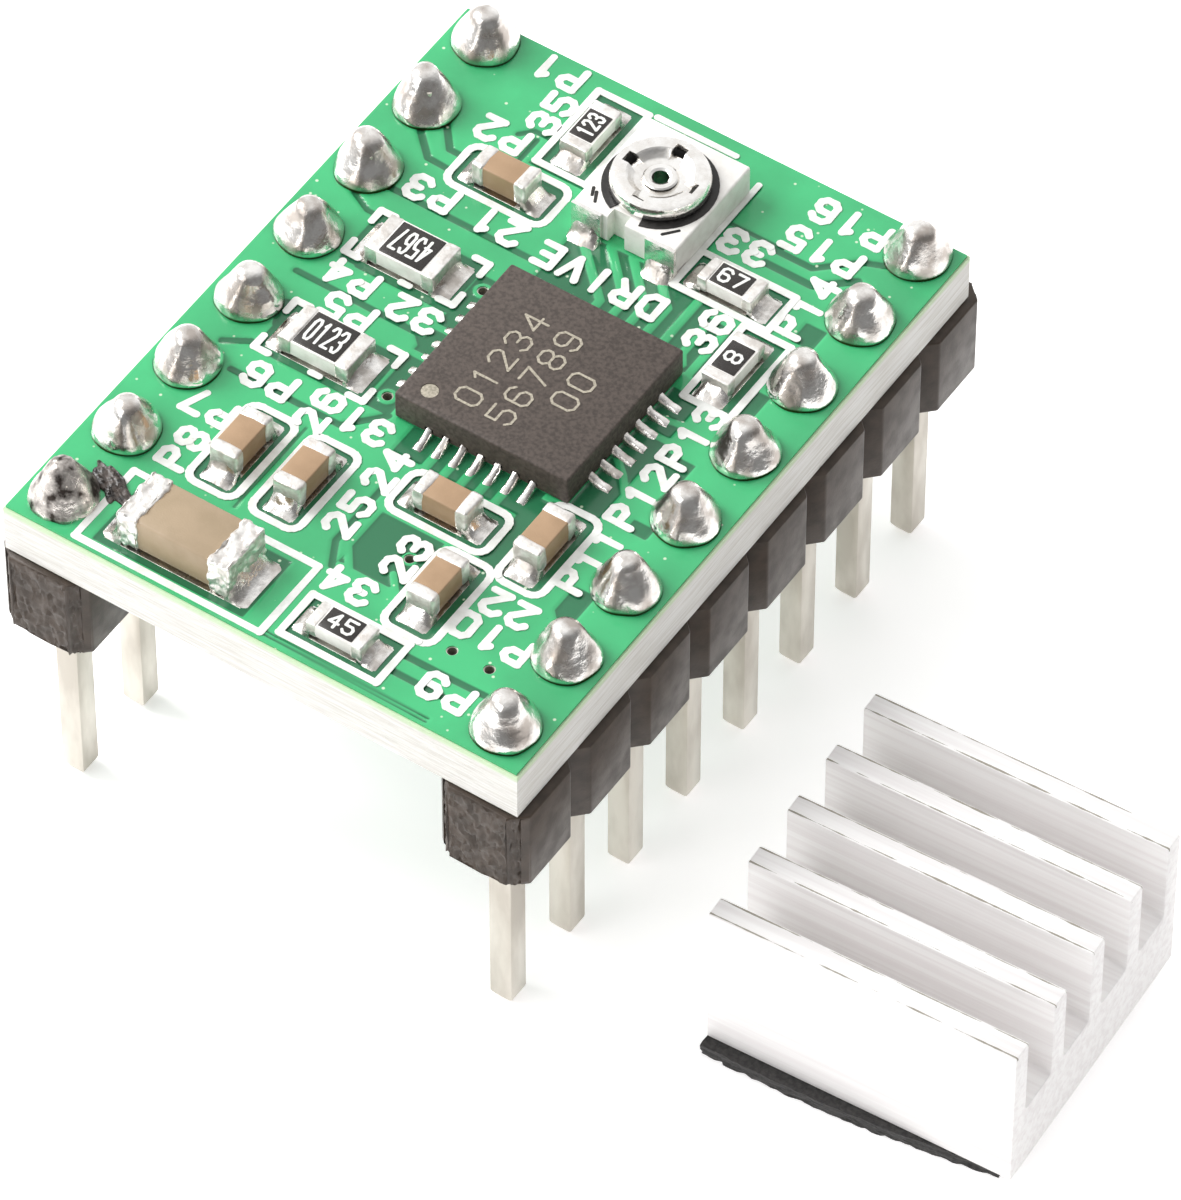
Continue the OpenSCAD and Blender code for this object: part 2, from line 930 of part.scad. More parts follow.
board_core();
copper_top();
copper_bottom();
solder_mask_top();
solder_mask_bottom();
silkscreen_top();
plated_barrels();
header_body_left();
header_body_right();
header_pins_left();
header_pins_right();
solder_joints_left();
solder_joints_right();
chip_package();
chip_leads();
chip_thermal_pad();
chip_die();
chip_bond_wires();
chip_solder();
pot_base();
pot_track();
pot_rotor();
pot_rivet();
pot_terminals();
pot_solder();
for (i = [1 : len(capacitors)]) {
    capacitor_body(capacitors[i - 1]);
    part_ends(capacitors[i - 1]);
}
for (i = [1 : len(resistors)]) {
    resistor_ceramic(resistors[i - 1]);
    resistor_glaze(resistors[i - 1]);
    part_ends(resistors[i - 1]);
}
passive_solder();
heatsink();
heatsink_pad();
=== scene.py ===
"""The looks of a stepper driver module: a breakout board on two pin strips, with its heat sink."""

import math

import bmesh
import bpy
import numpy as np
from bpy.props import FloatProperty, FloatVectorProperty, IntProperty, PointerProperty
from mathutils import Matrix, Vector, noise


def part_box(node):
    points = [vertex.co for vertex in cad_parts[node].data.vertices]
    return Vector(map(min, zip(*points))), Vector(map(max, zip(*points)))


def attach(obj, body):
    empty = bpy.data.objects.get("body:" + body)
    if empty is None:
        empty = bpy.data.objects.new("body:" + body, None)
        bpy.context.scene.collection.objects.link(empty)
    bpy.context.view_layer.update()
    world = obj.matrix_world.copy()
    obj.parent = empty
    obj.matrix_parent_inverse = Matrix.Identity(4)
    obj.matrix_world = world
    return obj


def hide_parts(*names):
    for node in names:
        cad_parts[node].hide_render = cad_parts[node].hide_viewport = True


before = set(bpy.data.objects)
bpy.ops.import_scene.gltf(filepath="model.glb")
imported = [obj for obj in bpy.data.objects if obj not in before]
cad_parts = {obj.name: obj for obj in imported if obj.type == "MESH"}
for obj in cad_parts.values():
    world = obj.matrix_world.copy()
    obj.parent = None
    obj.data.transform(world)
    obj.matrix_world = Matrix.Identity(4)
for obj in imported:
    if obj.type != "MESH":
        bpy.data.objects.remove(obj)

bl_info = {
    "name": "Stepper driver module",
    "version": (1, 0, 0),
    "blender": (4, 5, 0),
    "location": "View3D > Sidebar > Driver",
    "description": "Models the visible pieces of a stepper driver module",
    "category": "Object",
}

MM = 0.001
FIN = 0.6
CAPACITORS = range(1, 8)
RESISTORS = range(1, 7)
LARGE_CAPACITOR = 7
LARGE_RESISTORS = (5, 6)


def centre_of(node):
    low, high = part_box(node)
    return (low + high) / 2


def size_of(node):
    low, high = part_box(node)
    return high - low


def solder_foot():
    """The height at which all solder starts, just inside the copper"""
    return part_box("copper_top")[1].z - 0.02 * MM


# ---- Sizes and colours that a user may change ----


class BoardSettings(bpy.types.PropertyGroup):
    """The printed board, its mask and its legend"""

    mask_step: FloatProperty(
        name="Relief step",
        description="Spacing of the points that carry the relief of the tracks",
        default=0.06 * MM,
        subtype="DISTANCE",
    )
    relief: FloatProperty(
        name="Track relief",
        description="How far the mask stands higher over copper than beside it",
        default=0.04 * MM,
        subtype="DISTANCE",
    )
    legend_stroke: FloatProperty(
        name="Legend stroke",
        description="Width of the printed lines",
        default=0.21 * MM,
        subtype="DISTANCE",
    )
    letter_height: FloatProperty(
        name="Letter height",
        description="Height of the printed characters",
        default=0.9 * MM,
        subtype="DISTANCE",
    )
    copper_green: FloatVectorProperty(
        name="Mask over copper",
        description="Colour of the mask where copper lies under it",
        default=(0.052, 0.48, 0.185),
        subtype="COLOR",
    )
    bare_green: FloatVectorProperty(
        name="Mask over laminate",
        description="Colour of the mask where no copper lies under it",
        default=(0.02, 0.16, 0.068),
        subtype="COLOR",
    )


class PartSettings(bpy.types.PropertyGroup):
    """The soldered parts, the strips and the heat sink"""

    cone_steps: IntProperty(
        name="Cone steps",
        description="Sides of each soldered cone",
        default=40,
        min=12,
        max=64,
    )
    cone_lumps: FloatProperty(
        name="Cone lumps",
        description="How uneven the soldered cones are",
        default=0.045 * MM,
        subtype="DISTANCE",
    )
    edge_round: FloatProperty(
        name="Part edge rounding",
        description="Radius of the edges of the chip parts",
        default=0.07 * MM,
        subtype="DISTANCE",
    )
    fin_count: IntProperty(
        name="Fins", description="Number of fins", default=5, min=2, max=9
    )
    sink_length: FloatProperty(
        name="Heat sink length", description="Along the fins", default=8.4 * MM, subtype="DISTANCE"
    )
    sink_width: FloatProperty(
        name="Heat sink width", description="Across the fins", default=7.9 * MM, subtype="DISTANCE"
    )
    sink_turn: FloatProperty(
        name="Heat sink turn",
        description="How far the heat sink lies turned",
        default=math.radians(2.8),
        subtype="ANGLE",
    )


class StageSettings(bpy.types.PropertyGroup):
    """The camera, the floor and the lights"""

    azimuth: FloatProperty(
        name="Azimuth",
        description="Turn of the view round the board",
        default=math.radians(33.93),
        subtype="ANGLE",
    )
    elevation: FloatProperty(
        name="Elevation",
        description="Height of the view above the horizon",
        default=math.radians(50.23),
        subtype="ANGLE",
    )
    distance: FloatProperty(
        name="Distance",
        description="From the camera to the middle of the view",
        default=248.2 * MM,
        subtype="DISTANCE",
    )
    target: FloatVectorProperty(
        name="Target",
        description="Middle of the view",
        default=(3.45 * MM, -1.02 * MM, 5.0 * MM),
        subtype="TRANSLATION",
    )
    lens: FloatProperty(
        name="Lens", description="Focal length in millimetres", default=306.7, min=1
    )
    key_power: FloatProperty(
        name="Key light", description="Power of the large light", default=0.42, subtype="POWER"
    )
    fill_power: FloatProperty(
        name="Fill light", description="Power of the small light", default=0.35, subtype="POWER"
    )
    sky: FloatProperty(name="Sky", description="Strength of the even light", default=0.75)


# ---- Modelling steps ----


def activate(piece):
    """Selects one object only"""
    bpy.ops.object.select_all(action="DESELECT")
    piece.select_set(True)
    bpy.context.view_layer.objects.active = piece


def enter_edit(piece):
    activate(piece)
    bpy.ops.object.mode_set(mode="EDIT")


def leave_edit():
    bpy.ops.object.mode_set(mode="OBJECT")


def pick(piece, kind, chosen):
    """Enters edit mode with only the edges or faces selected that chosen accepts"""
    enter_edit(piece)
    bpy.ops.mesh.select_mode(type=kind)
    bpy.ops.mesh.select_all(action="DESELECT")
    leave_edit()
    for part in piece.data.edges if kind == "EDGE" else piece.data.polygons:
        part.select = chosen(part)
    enter_edit(piece)


def apply_place(piece):
    activate(piece)
    bpy.ops.object.transform_apply(location=True, rotation=True, scale=True)


def new_box(name, low, high):
    """A box between two corners"""
    low, high = Vector(low), Vector(high)
    bpy.ops.object.select_all(action="DESELECT")
    bpy.ops.mesh.primitive_cube_add(size=1, location=(low + high) / 2, scale=high - low)
    piece = bpy.context.object
    piece.name = name
    apply_place(piece)
    return piece


def new_block(name, length, width, bottom, top):
    """A box whose middle stands on the vertical axis"""
    half = Vector((length, width)) / 2
    return new_box(name, (*-half, bottom), (*half, top))


def new_disc(name, centre, radius, height, sides=32):
    """A disc that stands on its centre point"""
    bpy.ops.object.select_all(action="DESELECT")
    middle = Vector(centre) + Vector((0, 0, height / 2))
    bpy.ops.mesh.primitive_cylinder_add(
        vertices=sides, radius=radius, depth=height, location=middle
    )
    piece = bpy.context.object
    piece.name = name
    apply_place(piece)
    return piece


def new_spin(name, profile, centre, steps):
    """A shape turned from a profile of (radius, height) points round a vertical axis"""
    mesh = bpy.data.meshes.new(name)
    points = [(radius, 0, height) for radius, height in profile]
    mesh.from_pydata(points, [(i, i + 1) for i in range(len(points) - 1)], [])
    piece = bpy.data.objects.new(name, mesh)
    bpy.context.scene.collection.objects.link(piece)
    enter_edit(piece)
    bpy.ops.mesh.select_all(action="SELECT")
    bpy.ops.mesh.spin(
        steps=steps, angle=math.tau, center=(0, 0, 0), axis=(0, 0, 1), use_auto_merge=True
    )
    bpy.ops.mesh.select_all(action="SELECT")
    bpy.ops.mesh.remove_doubles(threshold=0.0005 * MM)
    bpy.ops.mesh.normals_make_consistent(inside=False)
    leave_edit()
    piece.data.transform(Matrix.Translation(centre))
    return piece


def apply_modifier(piece, kind, **values):
    activate(piece)
    modifier = piece.modifiers.new(kind.title(), kind)
    for key, value in values.items():
        setattr(modifier, key, value)
    bpy.ops.object.modifier_apply(modifier=modifier.name)


def bevel(piece, width, segments=2, angle=30):
    apply_modifier(
        piece,
        "BEVEL",
        width=width,
        segments=segments,
        limit_method="ANGLE",
        angle_limit=math.radians(angle),
    )


def cut(piece, cutter, solver="EXACT"):
    """Takes the cutter's shape out of the piece"""
    apply_modifier(piece, "BOOLEAN", operation="DIFFERENCE", solver=solver, object=cutter)
    bpy.data.objects.remove(cutter)


def subdivide(piece, cuts):
    enter_edit(piece)
    bpy.ops.mesh.select_all(action="SELECT")
    bpy.ops.mesh.subdivide(number_cuts=cuts)
    leave_edit()


def smooth(piece, angle=40):
    activate(piece)
    bpy.ops.object.shade_smooth_by_angle(angle=math.radians(angle))


def join(pieces, name):
    bpy.ops.object.select_all(action="DESELECT")
    for piece in pieces:
        piece.select_set(True)
    bpy.context.view_layer.objects.active = pieces[0]
    if len(pieces) > 1:
        bpy.ops.object.join()
    pieces[0].name = name
    return pieces[0]


def place(piece, centre, turn=0.0):
    """Turns a piece round the vertical axis and moves it to its place, in its mesh"""
    piece.data.transform(Matrix.Translation(centre) @ Matrix.Rotation(turn, 4, "Z"))


def roughen(piece, amount, grain, seed, keep=None):
    """Moves the points along their normals by smooth noise. keep(point) leaves a point alone."""
    offset = Vector((seed * 7.31, seed * 3.17, seed * 5.71))
    for vertex in piece.data.vertices:
        if keep is None or not keep(vertex.co):
            vertex.co += vertex.normal * amount * noise.noise(vertex.co / grain + offset)


def mound(name, size, low, climb, centre, turn, cuts, seed):
    """Solder that runs outward along +X from a part's end, high at its start and low at its tip"""
    length, width = size
    piece = new_box(name, (0, -width / 2, 0), (length, width / 2, 1))
    subdivide(piece, cuts)
    for vertex in piece.data.vertices:
        run = min(1.0, max(0.0, vertex.co.x / length))
        side = min(1.0, max(-1.0, 2 * vertex.co.y / width))
        shape = low + (climb - low) * (1 - run) ** 2.2
        shape *= 1 - 0.5 * side**4
        shape *= 1 - 0.55 * max(0.0, run - 0.8) / 0.2
        lump = 0.22 * noise.noise(Vector((run * 3, side * 1.5, seed * 1.7)))
        pinch = 1 - 0.12 * vertex.co.z * (1 + run)
        vertex.co.z *= shape * (1 + lump)
        vertex.co.y *= pinch
    smooth(piece, 50)
    place(piece, centre, turn)
    return piece


def give_material(piece, material):
    piece.data.materials.clear()
    piece.data.materials.append(material)


def hand_over(piece, body, material, nodes=()):
    """Gives a finished piece its material, its body and the nodes it stands for"""
    give_material(piece, material)
    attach(piece, body)
    if nodes:
        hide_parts(*nodes)


def coat(materials):
    """Gives each carried-over node its material"""
    for node, material in materials.items():
        give_material(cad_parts[node], material)


# ---- Materials ----

# Each finish: a light and a dark colour, the size of their patches, the lowest and highest
# roughness, the size and depth of the grain, and the shader's own values. Sizes are in
# millimetres. The two masks have shares of the settings' green in place of their colours.
FINISHES = {
    "Solder mask": (
        1, 0.82, 2.2, (0.13, 0.24), 0.25, 0.004, {"Coat Weight": 0.2, "Coat Roughness": 0.08}
    ),
    # Painted shade: the underside mask is a darker copy of the top mask's green, darkened so that
    # less green light bounces from it onto the floor
    "Underside mask": (
        0.45, 0.32, 2.5, (0.15, 0.26), 0.25, 0.004, {"Coat Weight": 0.5, "Coat Roughness": 0.06}
    ),
    "Laminate": ((0.84, 0.83, 0.8), (0.7, 0.68, 0.63), 0.35, (0.5, 0.75), 0.16, 0.03, {}),
    "Copper": (
        (0.72, 0.42, 0.22), (0.6, 0.33, 0.16), 0.4, (0.25, 0.4), 0.1, 0.004, {"Metallic": 1}
    ),
    "Legend ink": ((0.88, 0.89, 0.86), (0.76, 0.77, 0.73), 0.3, (0.4, 0.6), 0.07, 0.004, {}),
    "Soldered cone": (
        (0.95, 0.93, 0.9), (0.5, 0.45, 0.41), 0.55, (0.14, 0.3), 0.2, 0.014, {"Metallic": 1}
    ),
    "Solder": (
        (0.93, 0.91, 0.88), (0.52, 0.48, 0.44), 0.5, (0.16, 0.34), 0.16, 0.02, {"Metallic": 1}
    ),
    "Burnt solder": (
        (0.86, 0.8, 0.75), (0.045, 0.035, 0.03), 0.38, (0.22, 0.45), 0.14, 0.03, {"Metallic": 0.8}
    ),
    "Burnt flux": ((0.012, 0.01, 0.009), (0.1, 0.08, 0.07), 0.2, (0.15, 0.4), 0.1, 0.02, {}),
    "Tin plating": (
        (0.7, 0.66, 0.59), (0.54, 0.5, 0.44), 0.9, (0.3, 0.45), 0.2, 0.006, {"Metallic": 0.85}
    ),
    "Strip plastic": (
        (0.072, 0.052, 0.039), (0.05, 0.037, 0.028), 0.5, (0.3, 0.42), 0.07, 0.003,
        {"Specular IOR Level": 0.3},
    ),
    "Chip epoxy": ((0.094, 0.072, 0.06), (0.056, 0.043, 0.036), 0.1, (0.55, 0.7), 0.05, 0.006, {}),
    "Chip marking": ((0.5, 0.45, 0.36), (0.3, 0.27, 0.21), 0.06, (0.5, 0.7), 0.04, 0.002, {}),
    "Silicon": (
        (0.14, 0.15, 0.18), (0.1, 0.1, 0.13), 0.5, (0.12, 0.2), 0.1, 0.001, {"Metallic": 0.5}
    ),
    "Gold wire": (
        (0.9, 0.68, 0.3), (0.8, 0.56, 0.22), 0.3, (0.2, 0.3), 0.1, 0.001, {"Metallic": 1}
    ),
    "White ceramic": ((0.95, 0.93, 0.89), (0.85, 0.82, 0.78), 0.3, (0.35, 0.55), 0.06, 0.004, {}),
    "Capacitor ceramic": (
        (0.43, 0.28, 0.165), (0.38, 0.245, 0.14), 0.6, (0.35, 0.5), 0.05, 0.004, {}
    ),
    "Large capacitor ceramic": (
        (0.4, 0.3, 0.195), (0.36, 0.27, 0.17), 0.7, (0.4, 0.55), 0.05, 0.005, {}
    ),
    "Resistor glaze": (
        (0.03, 0.026, 0.023), (0.018, 0.015, 0.013), 0.2, (0.2, 0.4), 0.06, 0.003, {}
    ),
    "Part ends": (
        (0.96, 0.94, 0.91), (0.68, 0.64, 0.6), 0.25, (0.3, 0.5), 0.09, 0.016, {"Metallic": 0.9}
    ),
    "Stamped metal": (
        (0.97, 0.955, 0.93), (0.84, 0.81, 0.77), 0.35, (0.14, 0.28), 0.12, 0.006, {"Metallic": 1}
    ),
    "Carbon film": ((0.012, 0.011, 0.01), (0.025, 0.022, 0.02), 0.15, (0.4, 0.6), 0.06, 0.006, {}),
    "Extruded aluminium": (
        (0.97, 0.955, 0.945), (0.88, 0.85, 0.845), 0.16, (0.4, 0.55), 0.05, 0.004,
        {"Metallic": 0.1},
    ),
    "Adhesive pad": (
        (0.012, 0.011, 0.011), (0.05, 0.047, 0.045), 0.12, (0.45, 0.7), 0.08, 0.03, {}
    ),
    # Lit from beneath a little, so that shadows stay faint
    "Pale floor": (
        (0.9, 0.9, 0.9), (0.88, 0.88, 0.88), 40, (0.7, 0.8), 2, 0,
        {"Emission Color": (1, 0.985, 0.98, 1), "Emission Strength": 0.5},
    ),
}
# How much finer the pattern is along X, Y and Z, where it isn't even
STRETCHES = {
    "Laminate": (0.25, 0.25, 6),
    "Tin plating": (1, 1, 0.3),
    "Extruded aluminium": (0.02, 1, 1),
}


def rgba(colour):
    return (*colour, 1.0)


def add_node(tree, kind, inputs=None, **settings):
    """Adds a shader node with its settings, and gives each of its inputs a value or a link"""
    node = tree.nodes.new("ShaderNode" + kind)
    for key, value in settings.items():
        setattr(node, key, value)
    for key, value in (inputs or {}).items():
        if isinstance(value, bpy.types.NodeSocket):
            tree.links.new(value, node.inputs[key])
        else:
            node.inputs[key].default_value = value
    return node


def add_share(tree, value, start, end, **settings):
    """A share that goes from 0 to 1 as the value goes from start to end"""
    inputs = {"Value": value, "From Min": start, "From Max": end}
    return add_node(tree, "MapRange", inputs, **settings).outputs["Result"]


def add_mix(tree, share, first, second, kind="RGBA"):
    """Goes from the first to the second as the share goes from 0 to 1"""
    inputs = {"Factor": share, "A": first, "B": second}
    return add_node(tree, "Mix", inputs, data_type=kind).outputs["Result"]


def variation_group():
    """Two colours, two roughnesses and a bump that all follow soft noise"""
    name = "Surface variation"
    if name in bpy.data.node_groups:
        return bpy.data.node_groups[name]
    group = bpy.data.node_groups.new(name, "ShaderNodeTree")
    for way, kind, labels in (
        ("INPUT", "Vector", ("Place", "Stretch")),
        ("INPUT", "Color", ("Light", "Dark")),
        ("INPUT", "Float", ("Patch Scale", "Low Roughness", "High Roughness")),
        ("INPUT", "Float", ("Grain Scale", "Grain Depth")),
        ("OUTPUT", "Color", ("Color",)),
        ("OUTPUT", "Float", ("Roughness",)),
        ("OUTPUT", "Vector", ("Normal",)),
    ):
        for label in labels:
            group.interface.new_socket(label, in_out=way, socket_type="NodeSocket" + kind)
    given = group.nodes.new("NodeGroupInput").outputs
    out = group.nodes.new("NodeGroupOutput").inputs
    stretched = {0: given["Place"], 1: given["Stretch"]}
    spot = add_node(group, "VectorMath", stretched, operation="MULTIPLY").outputs[0]
    patches, grain = (
        add_node(group, "TexNoise", {"Vector": spot, "Scale": given[scale], "Detail": detail})
        for scale, detail in (("Patch Scale", 4), ("Grain Scale", 3))
    )
    share = add_share(group, patches.outputs["Fac"], 0.38, 0.64)
    bumps = {"Height": grain.outputs["Fac"], "Distance": given["Grain Depth"]}
    low, high = given["Low Roughness"], given["High Roughness"]
    for socket, result in (
        ("Color", add_mix(group, share, given["Light"], given["Dark"])),
        ("Roughness", add_mix(group, share, low, high, "FLOAT")),
        ("Normal", add_node(group, "Bump", bumps).outputs["Normal"]),
    ):
        group.links.new(result, out[socket])
    return group


def finish(name, green=None, turn=0.0, about=(0, 0, 0)):
    """The material of that name from the table, made when it is first asked for"""
    if name in bpy.data.materials:
        return bpy.data.materials[name]
    light, dark, patch, rough, grain, depth, shader = FINISHES[name]
    if green is not None:
        light, dark = (tuple(share * k for k in green) for share in (light, dark))
    material = bpy.data.materials.new(name)
    material.use_nodes = True
    tree = material.node_tree
    body = tree.nodes["Principled BSDF"]
    where = add_node(tree, "TexCoord")
    turned = {"Vector": where.outputs["Object"], "Center": about, "Angle": -turn}
    values = {
        "Place": add_node(tree, "VectorRotate", turned, name="Place").outputs["Vector"],
        "Light": rgba(light),
        "Dark": rgba(dark),
        "Patch Scale": 1 / (patch * MM),
        "Low Roughness": rough[0],
        "High Roughness": rough[1],
        "Grain Scale": 1 / (grain * MM),
        "Grain Depth": depth * MM,
        "Stretch": STRETCHES.get(name, (1, 1, 1)),
    }
    variation = add_node(tree, "Group", values, name="Variation", node_tree=variation_group())
    for socket, output in zip(("Base Color", "Roughness", "Normal"), variation.outputs):
        tree.links.new(output, body.inputs[socket])
    for key, value in shader.items():
        body.inputs[key].default_value = value
    return material


def paint_over(material, share, colour, under=None):
    """Mixes a colour by its share over another, or over the finish's own"""
    tree = material.node_tree
    under = under or tree.nodes["Variation"].outputs["Color"]
    mixed = add_mix(tree, share, under, rgba(colour))
    tree.links.new(mixed, tree.nodes["Principled BSDF"].inputs["Base Color"])
    return material


def tint_by_height(material, start, end, colour):
    """Mixes a colour in, from none at the height start to all of it at the height end"""
    tree = material.node_tree
    split = add_node(tree, "SeparateXYZ", {0: add_node(tree, "TexCoord").outputs["Object"]})
    return paint_over(material, add_share(tree, split.outputs["Z"], start, end), colour)


def mask_material(settings):
    """Glossy mask: light over copper, dark beside it, read from the relief's own attribute"""
    material = finish("Solder mask", settings.copper_green)
    tree = material.node_tree
    level = add_node(tree, "Attribute", attribute_name="copper").outputs["Fac"]
    share = add_share(tree, level, -0.02, 0.02, interpolation_type="SMOOTHSTEP")
    light = tree.nodes["Variation"].outputs["Color"]
    green = add_mix(tree, share, rgba(settings.bare_green), light)
    where = add_node(tree, "TexCoord").outputs["Object"]
    dust = add_node(tree, "TexVoronoi", {"Vector": where, "Scale": 1 / (0.5 * MM)})
    specks = add_share(tree, dust.outputs["Distance"], 0.1, 0.055)
    return paint_over(material, specks, (0.6, 0.75, 0.55), green)


def laminate_material():
    """Glass-fibre laminate: fine layers along the edge and a pale green line under the mask"""
    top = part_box("board_core")[1].z
    return tint_by_height(finish("Laminate"), top - 0.2 * MM, top - 0.1 * MM, (0.6, 0.74, 0.5))


def cone_material():
    """Solder, darker in a thin band at its foot where it meets the mask"""
    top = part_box("solder_mask_top")[1].z
    ring = (0.09, 0.065, 0.022)
    # Dark brown mixed into the colour towards the foot of each cone, fully so just above the mask
    return tint_by_height(finish("Soldered cone"), top + 0.1 * MM, top + 0.055 * MM, ring)


def fin_material(settings, middle, top):
    """Bright drawn aluminium: fine lines along the fins, broken dark lines along the edges of
    their tops
    """
    material = finish("Extruded aluminium", turn=settings.sink_turn, about=middle)
    tree = material.node_tree
    spot = tree.nodes["Place"].outputs["Vector"]
    split = add_node(tree, "SeparateXYZ", {0: spot})

    def calculate(operation, first, second):
        return add_node(tree, "Math", {0: first, 1: second}, operation=operation).outputs["Value"]

    fin = FIN * MM
    pitch = (settings.sink_width - fin) / (settings.fin_count - 1)
    start = middle[1] - settings.sink_width / 2
    across = calculate("MODULO", calculate("SUBTRACT", split.outputs["Y"], start), pitch)
    from_middle = calculate("ABSOLUTE", calculate("SUBTRACT", across, fin / 2), 0.0)
    off_edge = calculate("SUBTRACT", from_middle, fin / 2 - 0.055 * MM)
    from_edge = calculate("ABSOLUTE", off_edge, 0.0)
    broken = add_node(tree, "TexNoise", {"Vector": spot, "Scale": 1 / (0.9 * MM), "Detail": 5})
    width = calculate("MULTIPLY", calculate("SUBTRACT", broken.outputs["Fac"], 0.4), 0.13 * MM)
    on_edge = calculate("LESS_THAN", from_edge, width)
    on_top = calculate("GREATER_THAN", split.outputs["Z"], top - 0.09 * MM)
    # Broken dark lines mixed into the colour along both edges of each fin's top
    return paint_over(material, calculate("MULTIPLY", on_edge, on_top), (0.33, 0.3, 0.25))


# ---- Tracks under the mask, in millimetres ----

# Lines without copper: a width and the points it runs through
CLEARANCES = (
    (0.2, ((-5.6, 6.1), (-5.05, 5.44), (-4.5, 5.44))),
    (0.2, ((-6.0, 5.55), (-5.35, 4.92), (-4.5, 4.88))),
    (0.2, ((-5.6, 3.6), (-0.9, 3.58), (-0.3, 3.0))),
    (0.16, ((-3.2, 7.12), (-3.65, 7.12), (-3.95, 6.8))),
    (0.14, ((-3.45, 6.9), (-3.45, 6.1))),
    (0.08, ((-3.2, 6.2), (-1.5, 6.2))),
    (0.16, ((-6.2, 2.98), (-5.6, 2.68), (-5.0, 2.66))),
    (0.2, ((-5.9, 0.1), (-2.3, 0.08), (-1.9, -0.3))),
    (0.2, ((-1.85, 1.0), (-1.85, -0.3))),
    (0.2, ((-6.1, -2.75), (-5.5, -2.38), (-5.0, -2.36))),
    (0.2, ((-5.4, -3.38), (-2.2, -3.38), (-1.4, -2.5))),
    (0.5, ((-5.45, -1.0), (-5.2, -1.5))),
    (0.08, ((-2.82, -3.9), (-2.82, -6.9))),
    (0.08, ((1.97, 5.1), (1.97, 8.6))),
    (0.14, ((1.95, 7.26), (3.5, 7.26))),
    (0.2, ((3.4, 7.14), (4.45, 7.14), (5.3, 7.95), (5.9, 8.2))),
    (0.24, ((3.4, 6.66), (4.75, 6.66), (5.6, 7.4))),
    (0.18, ((-0.22, -4.3), (-0.22, -6.4), (0.15, -7.1))),
    (0.2, ((3.2, -8.4), (5.5, -8.36))),
    (0.2, ((3.2, -8.95), (4.6, -8.95))),
    (0.06, ((0.05, -9.62), (4.7, -9.66))),
    (0.06, ((0.05, -9.74), (4.7, -9.78))),
    (0.24, ((-4.75, 1.1), (-2.2, 1.1))),
    (0.24, ((-4.75, -2.42), (-2.3, -2.42))),
)
# Rectangles without copper: left, near, right and far sides
BARE_AREAS = (
    (-1.0, 3.05, 3.2, 5.0),
    (3.2, 2.6, 4.1, 4.4),
    (-0.7, -3.35, 3.1, -2.4),
    (3.75, -2.4, 4.6, 2.1),
    (0.2, -6.9, 2.0, -5.05),
    (2.9, -5.2, 3.7, -2.6),
    (5.3, -5.6, 5.9, -4.4),
    (5.3, -2.3, 5.9, -1.9),
    (5.3, 2.2, 5.9, 3.1),
    (5.3, 4.9, 5.9, 5.6),
    (-2.1, -2.5, -1.4, 2.5),
    (4.5, -0.4, 5.6, 0.3),
)
# Tracks that cross them: a width and the points it runs through
TRACKS = (
    (0.24, ((-0.9, 5.0), (0.75, 3.4), (0.75, 2.9))),
    (0.24, ((0.0, 5.0), (1.25, 3.7), (1.25, 2.9))),
    (0.24, ((0.65, 5.0), (1.75, 3.85), (1.75, 2.9))),
    (0.24, ((1.35, 5.05), (2.25, 4.1), (2.25, 2.9))),
    (0.24, ((2.75, 4.7), (2.75, 2.9))),
    (0.2, ((3.35, 4.0), (3.35, 3.1), (3.55, 2.8))),
    (0.22, ((3.84, 4.2), (3.84, 2.6))),
    *((0.24, ((0.25 + i / 2, -3.6), (0.25 + i / 2, -2.5))) for i in range(5)),
    (0.2, ((3.8, 0.55), (5.75, 0.6))),
    (0.2, ((3.8, 1.05), (4.7, 1.2))),
    (0.2, ((3.8, -0.45), (4.3, -0.9), (4.7, -1.4))),
    (0.22, ((5.1, -2.3), (5.95, -2.95))),
    (0.2, ((0.06, -4.5), (0.06, -6.3), (0.8, -7.3))),
    (0.18, ((1.5, -6.5), (2.1, -7.2))),
    (0.2, ((5.15, -4.6), (5.18, -5.3), (5.6, -5.75))),
    (0.2, ((-1.4, 0.5), (-2.4, 0.5))),
    (0.2, ((-1.4, -0.5), (-2.4, -0.5))),
    (0.5, ((-1.77, 2.07), (-1.77, 2.07))),
    (0.5, ((-1.77, -2.0), (-1.77, -2.0))),
    (0.42, ((1.57, -5.9), (1.57, -5.9))),
)
VIAS = ((-1.77, 2.07), (-1.77, -2.0), (1.57, -5.9), (4.0, -7.67), (5.05, -7.65))
VIA_RADIUS = 0.15


def line_distance(x, y, points):
    """How far every point of the grid is from a line, in millimetres"""
    nearest = np.full(x.shape, np.inf)
    for (ax, ay), (bx, by) in zip(points[:-1], points[1:]):
        run_x, run_y = bx - ax, by - ay
        length = max(run_x**2 + run_y**2, 1e-9)
        along = np.clip(((x - ax) * run_x + (y - ay) * run_y) / length, 0, 1)
        nearest = np.minimum(nearest, np.hypot(x - ax - along * run_x, y - ay - along * run_y))
    return nearest


def area_distance(x, y, area):
    """Distance to a rectangle's sides, negative inside it, in millimetres"""
    left, near, right, far = area
    return np.maximum(np.maximum(left - x, x - right), np.maximum(near - y, y - far))


def part_areas(margin):
    """The rectangles of the pads of all chip parts, in millimetres, grown by a margin"""
    reach = 0.36 + margin
    side = 0.05 + margin
    for node in part_nodes():
        low, high = (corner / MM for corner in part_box(node))
        along_x = high.x - low.x > high.y - low.y
        out_x, out_y = (reach, side) if along_x else (side, reach)
        yield (low.x - out_x, low.y - out_y, high.x + out_x, high.y + out_y)


def part_nodes():
    for i in CAPACITORS:
        yield f"capacitor_{i}_ends"
    for i in RESISTORS:
        yield f"resistor_{i}_ends"


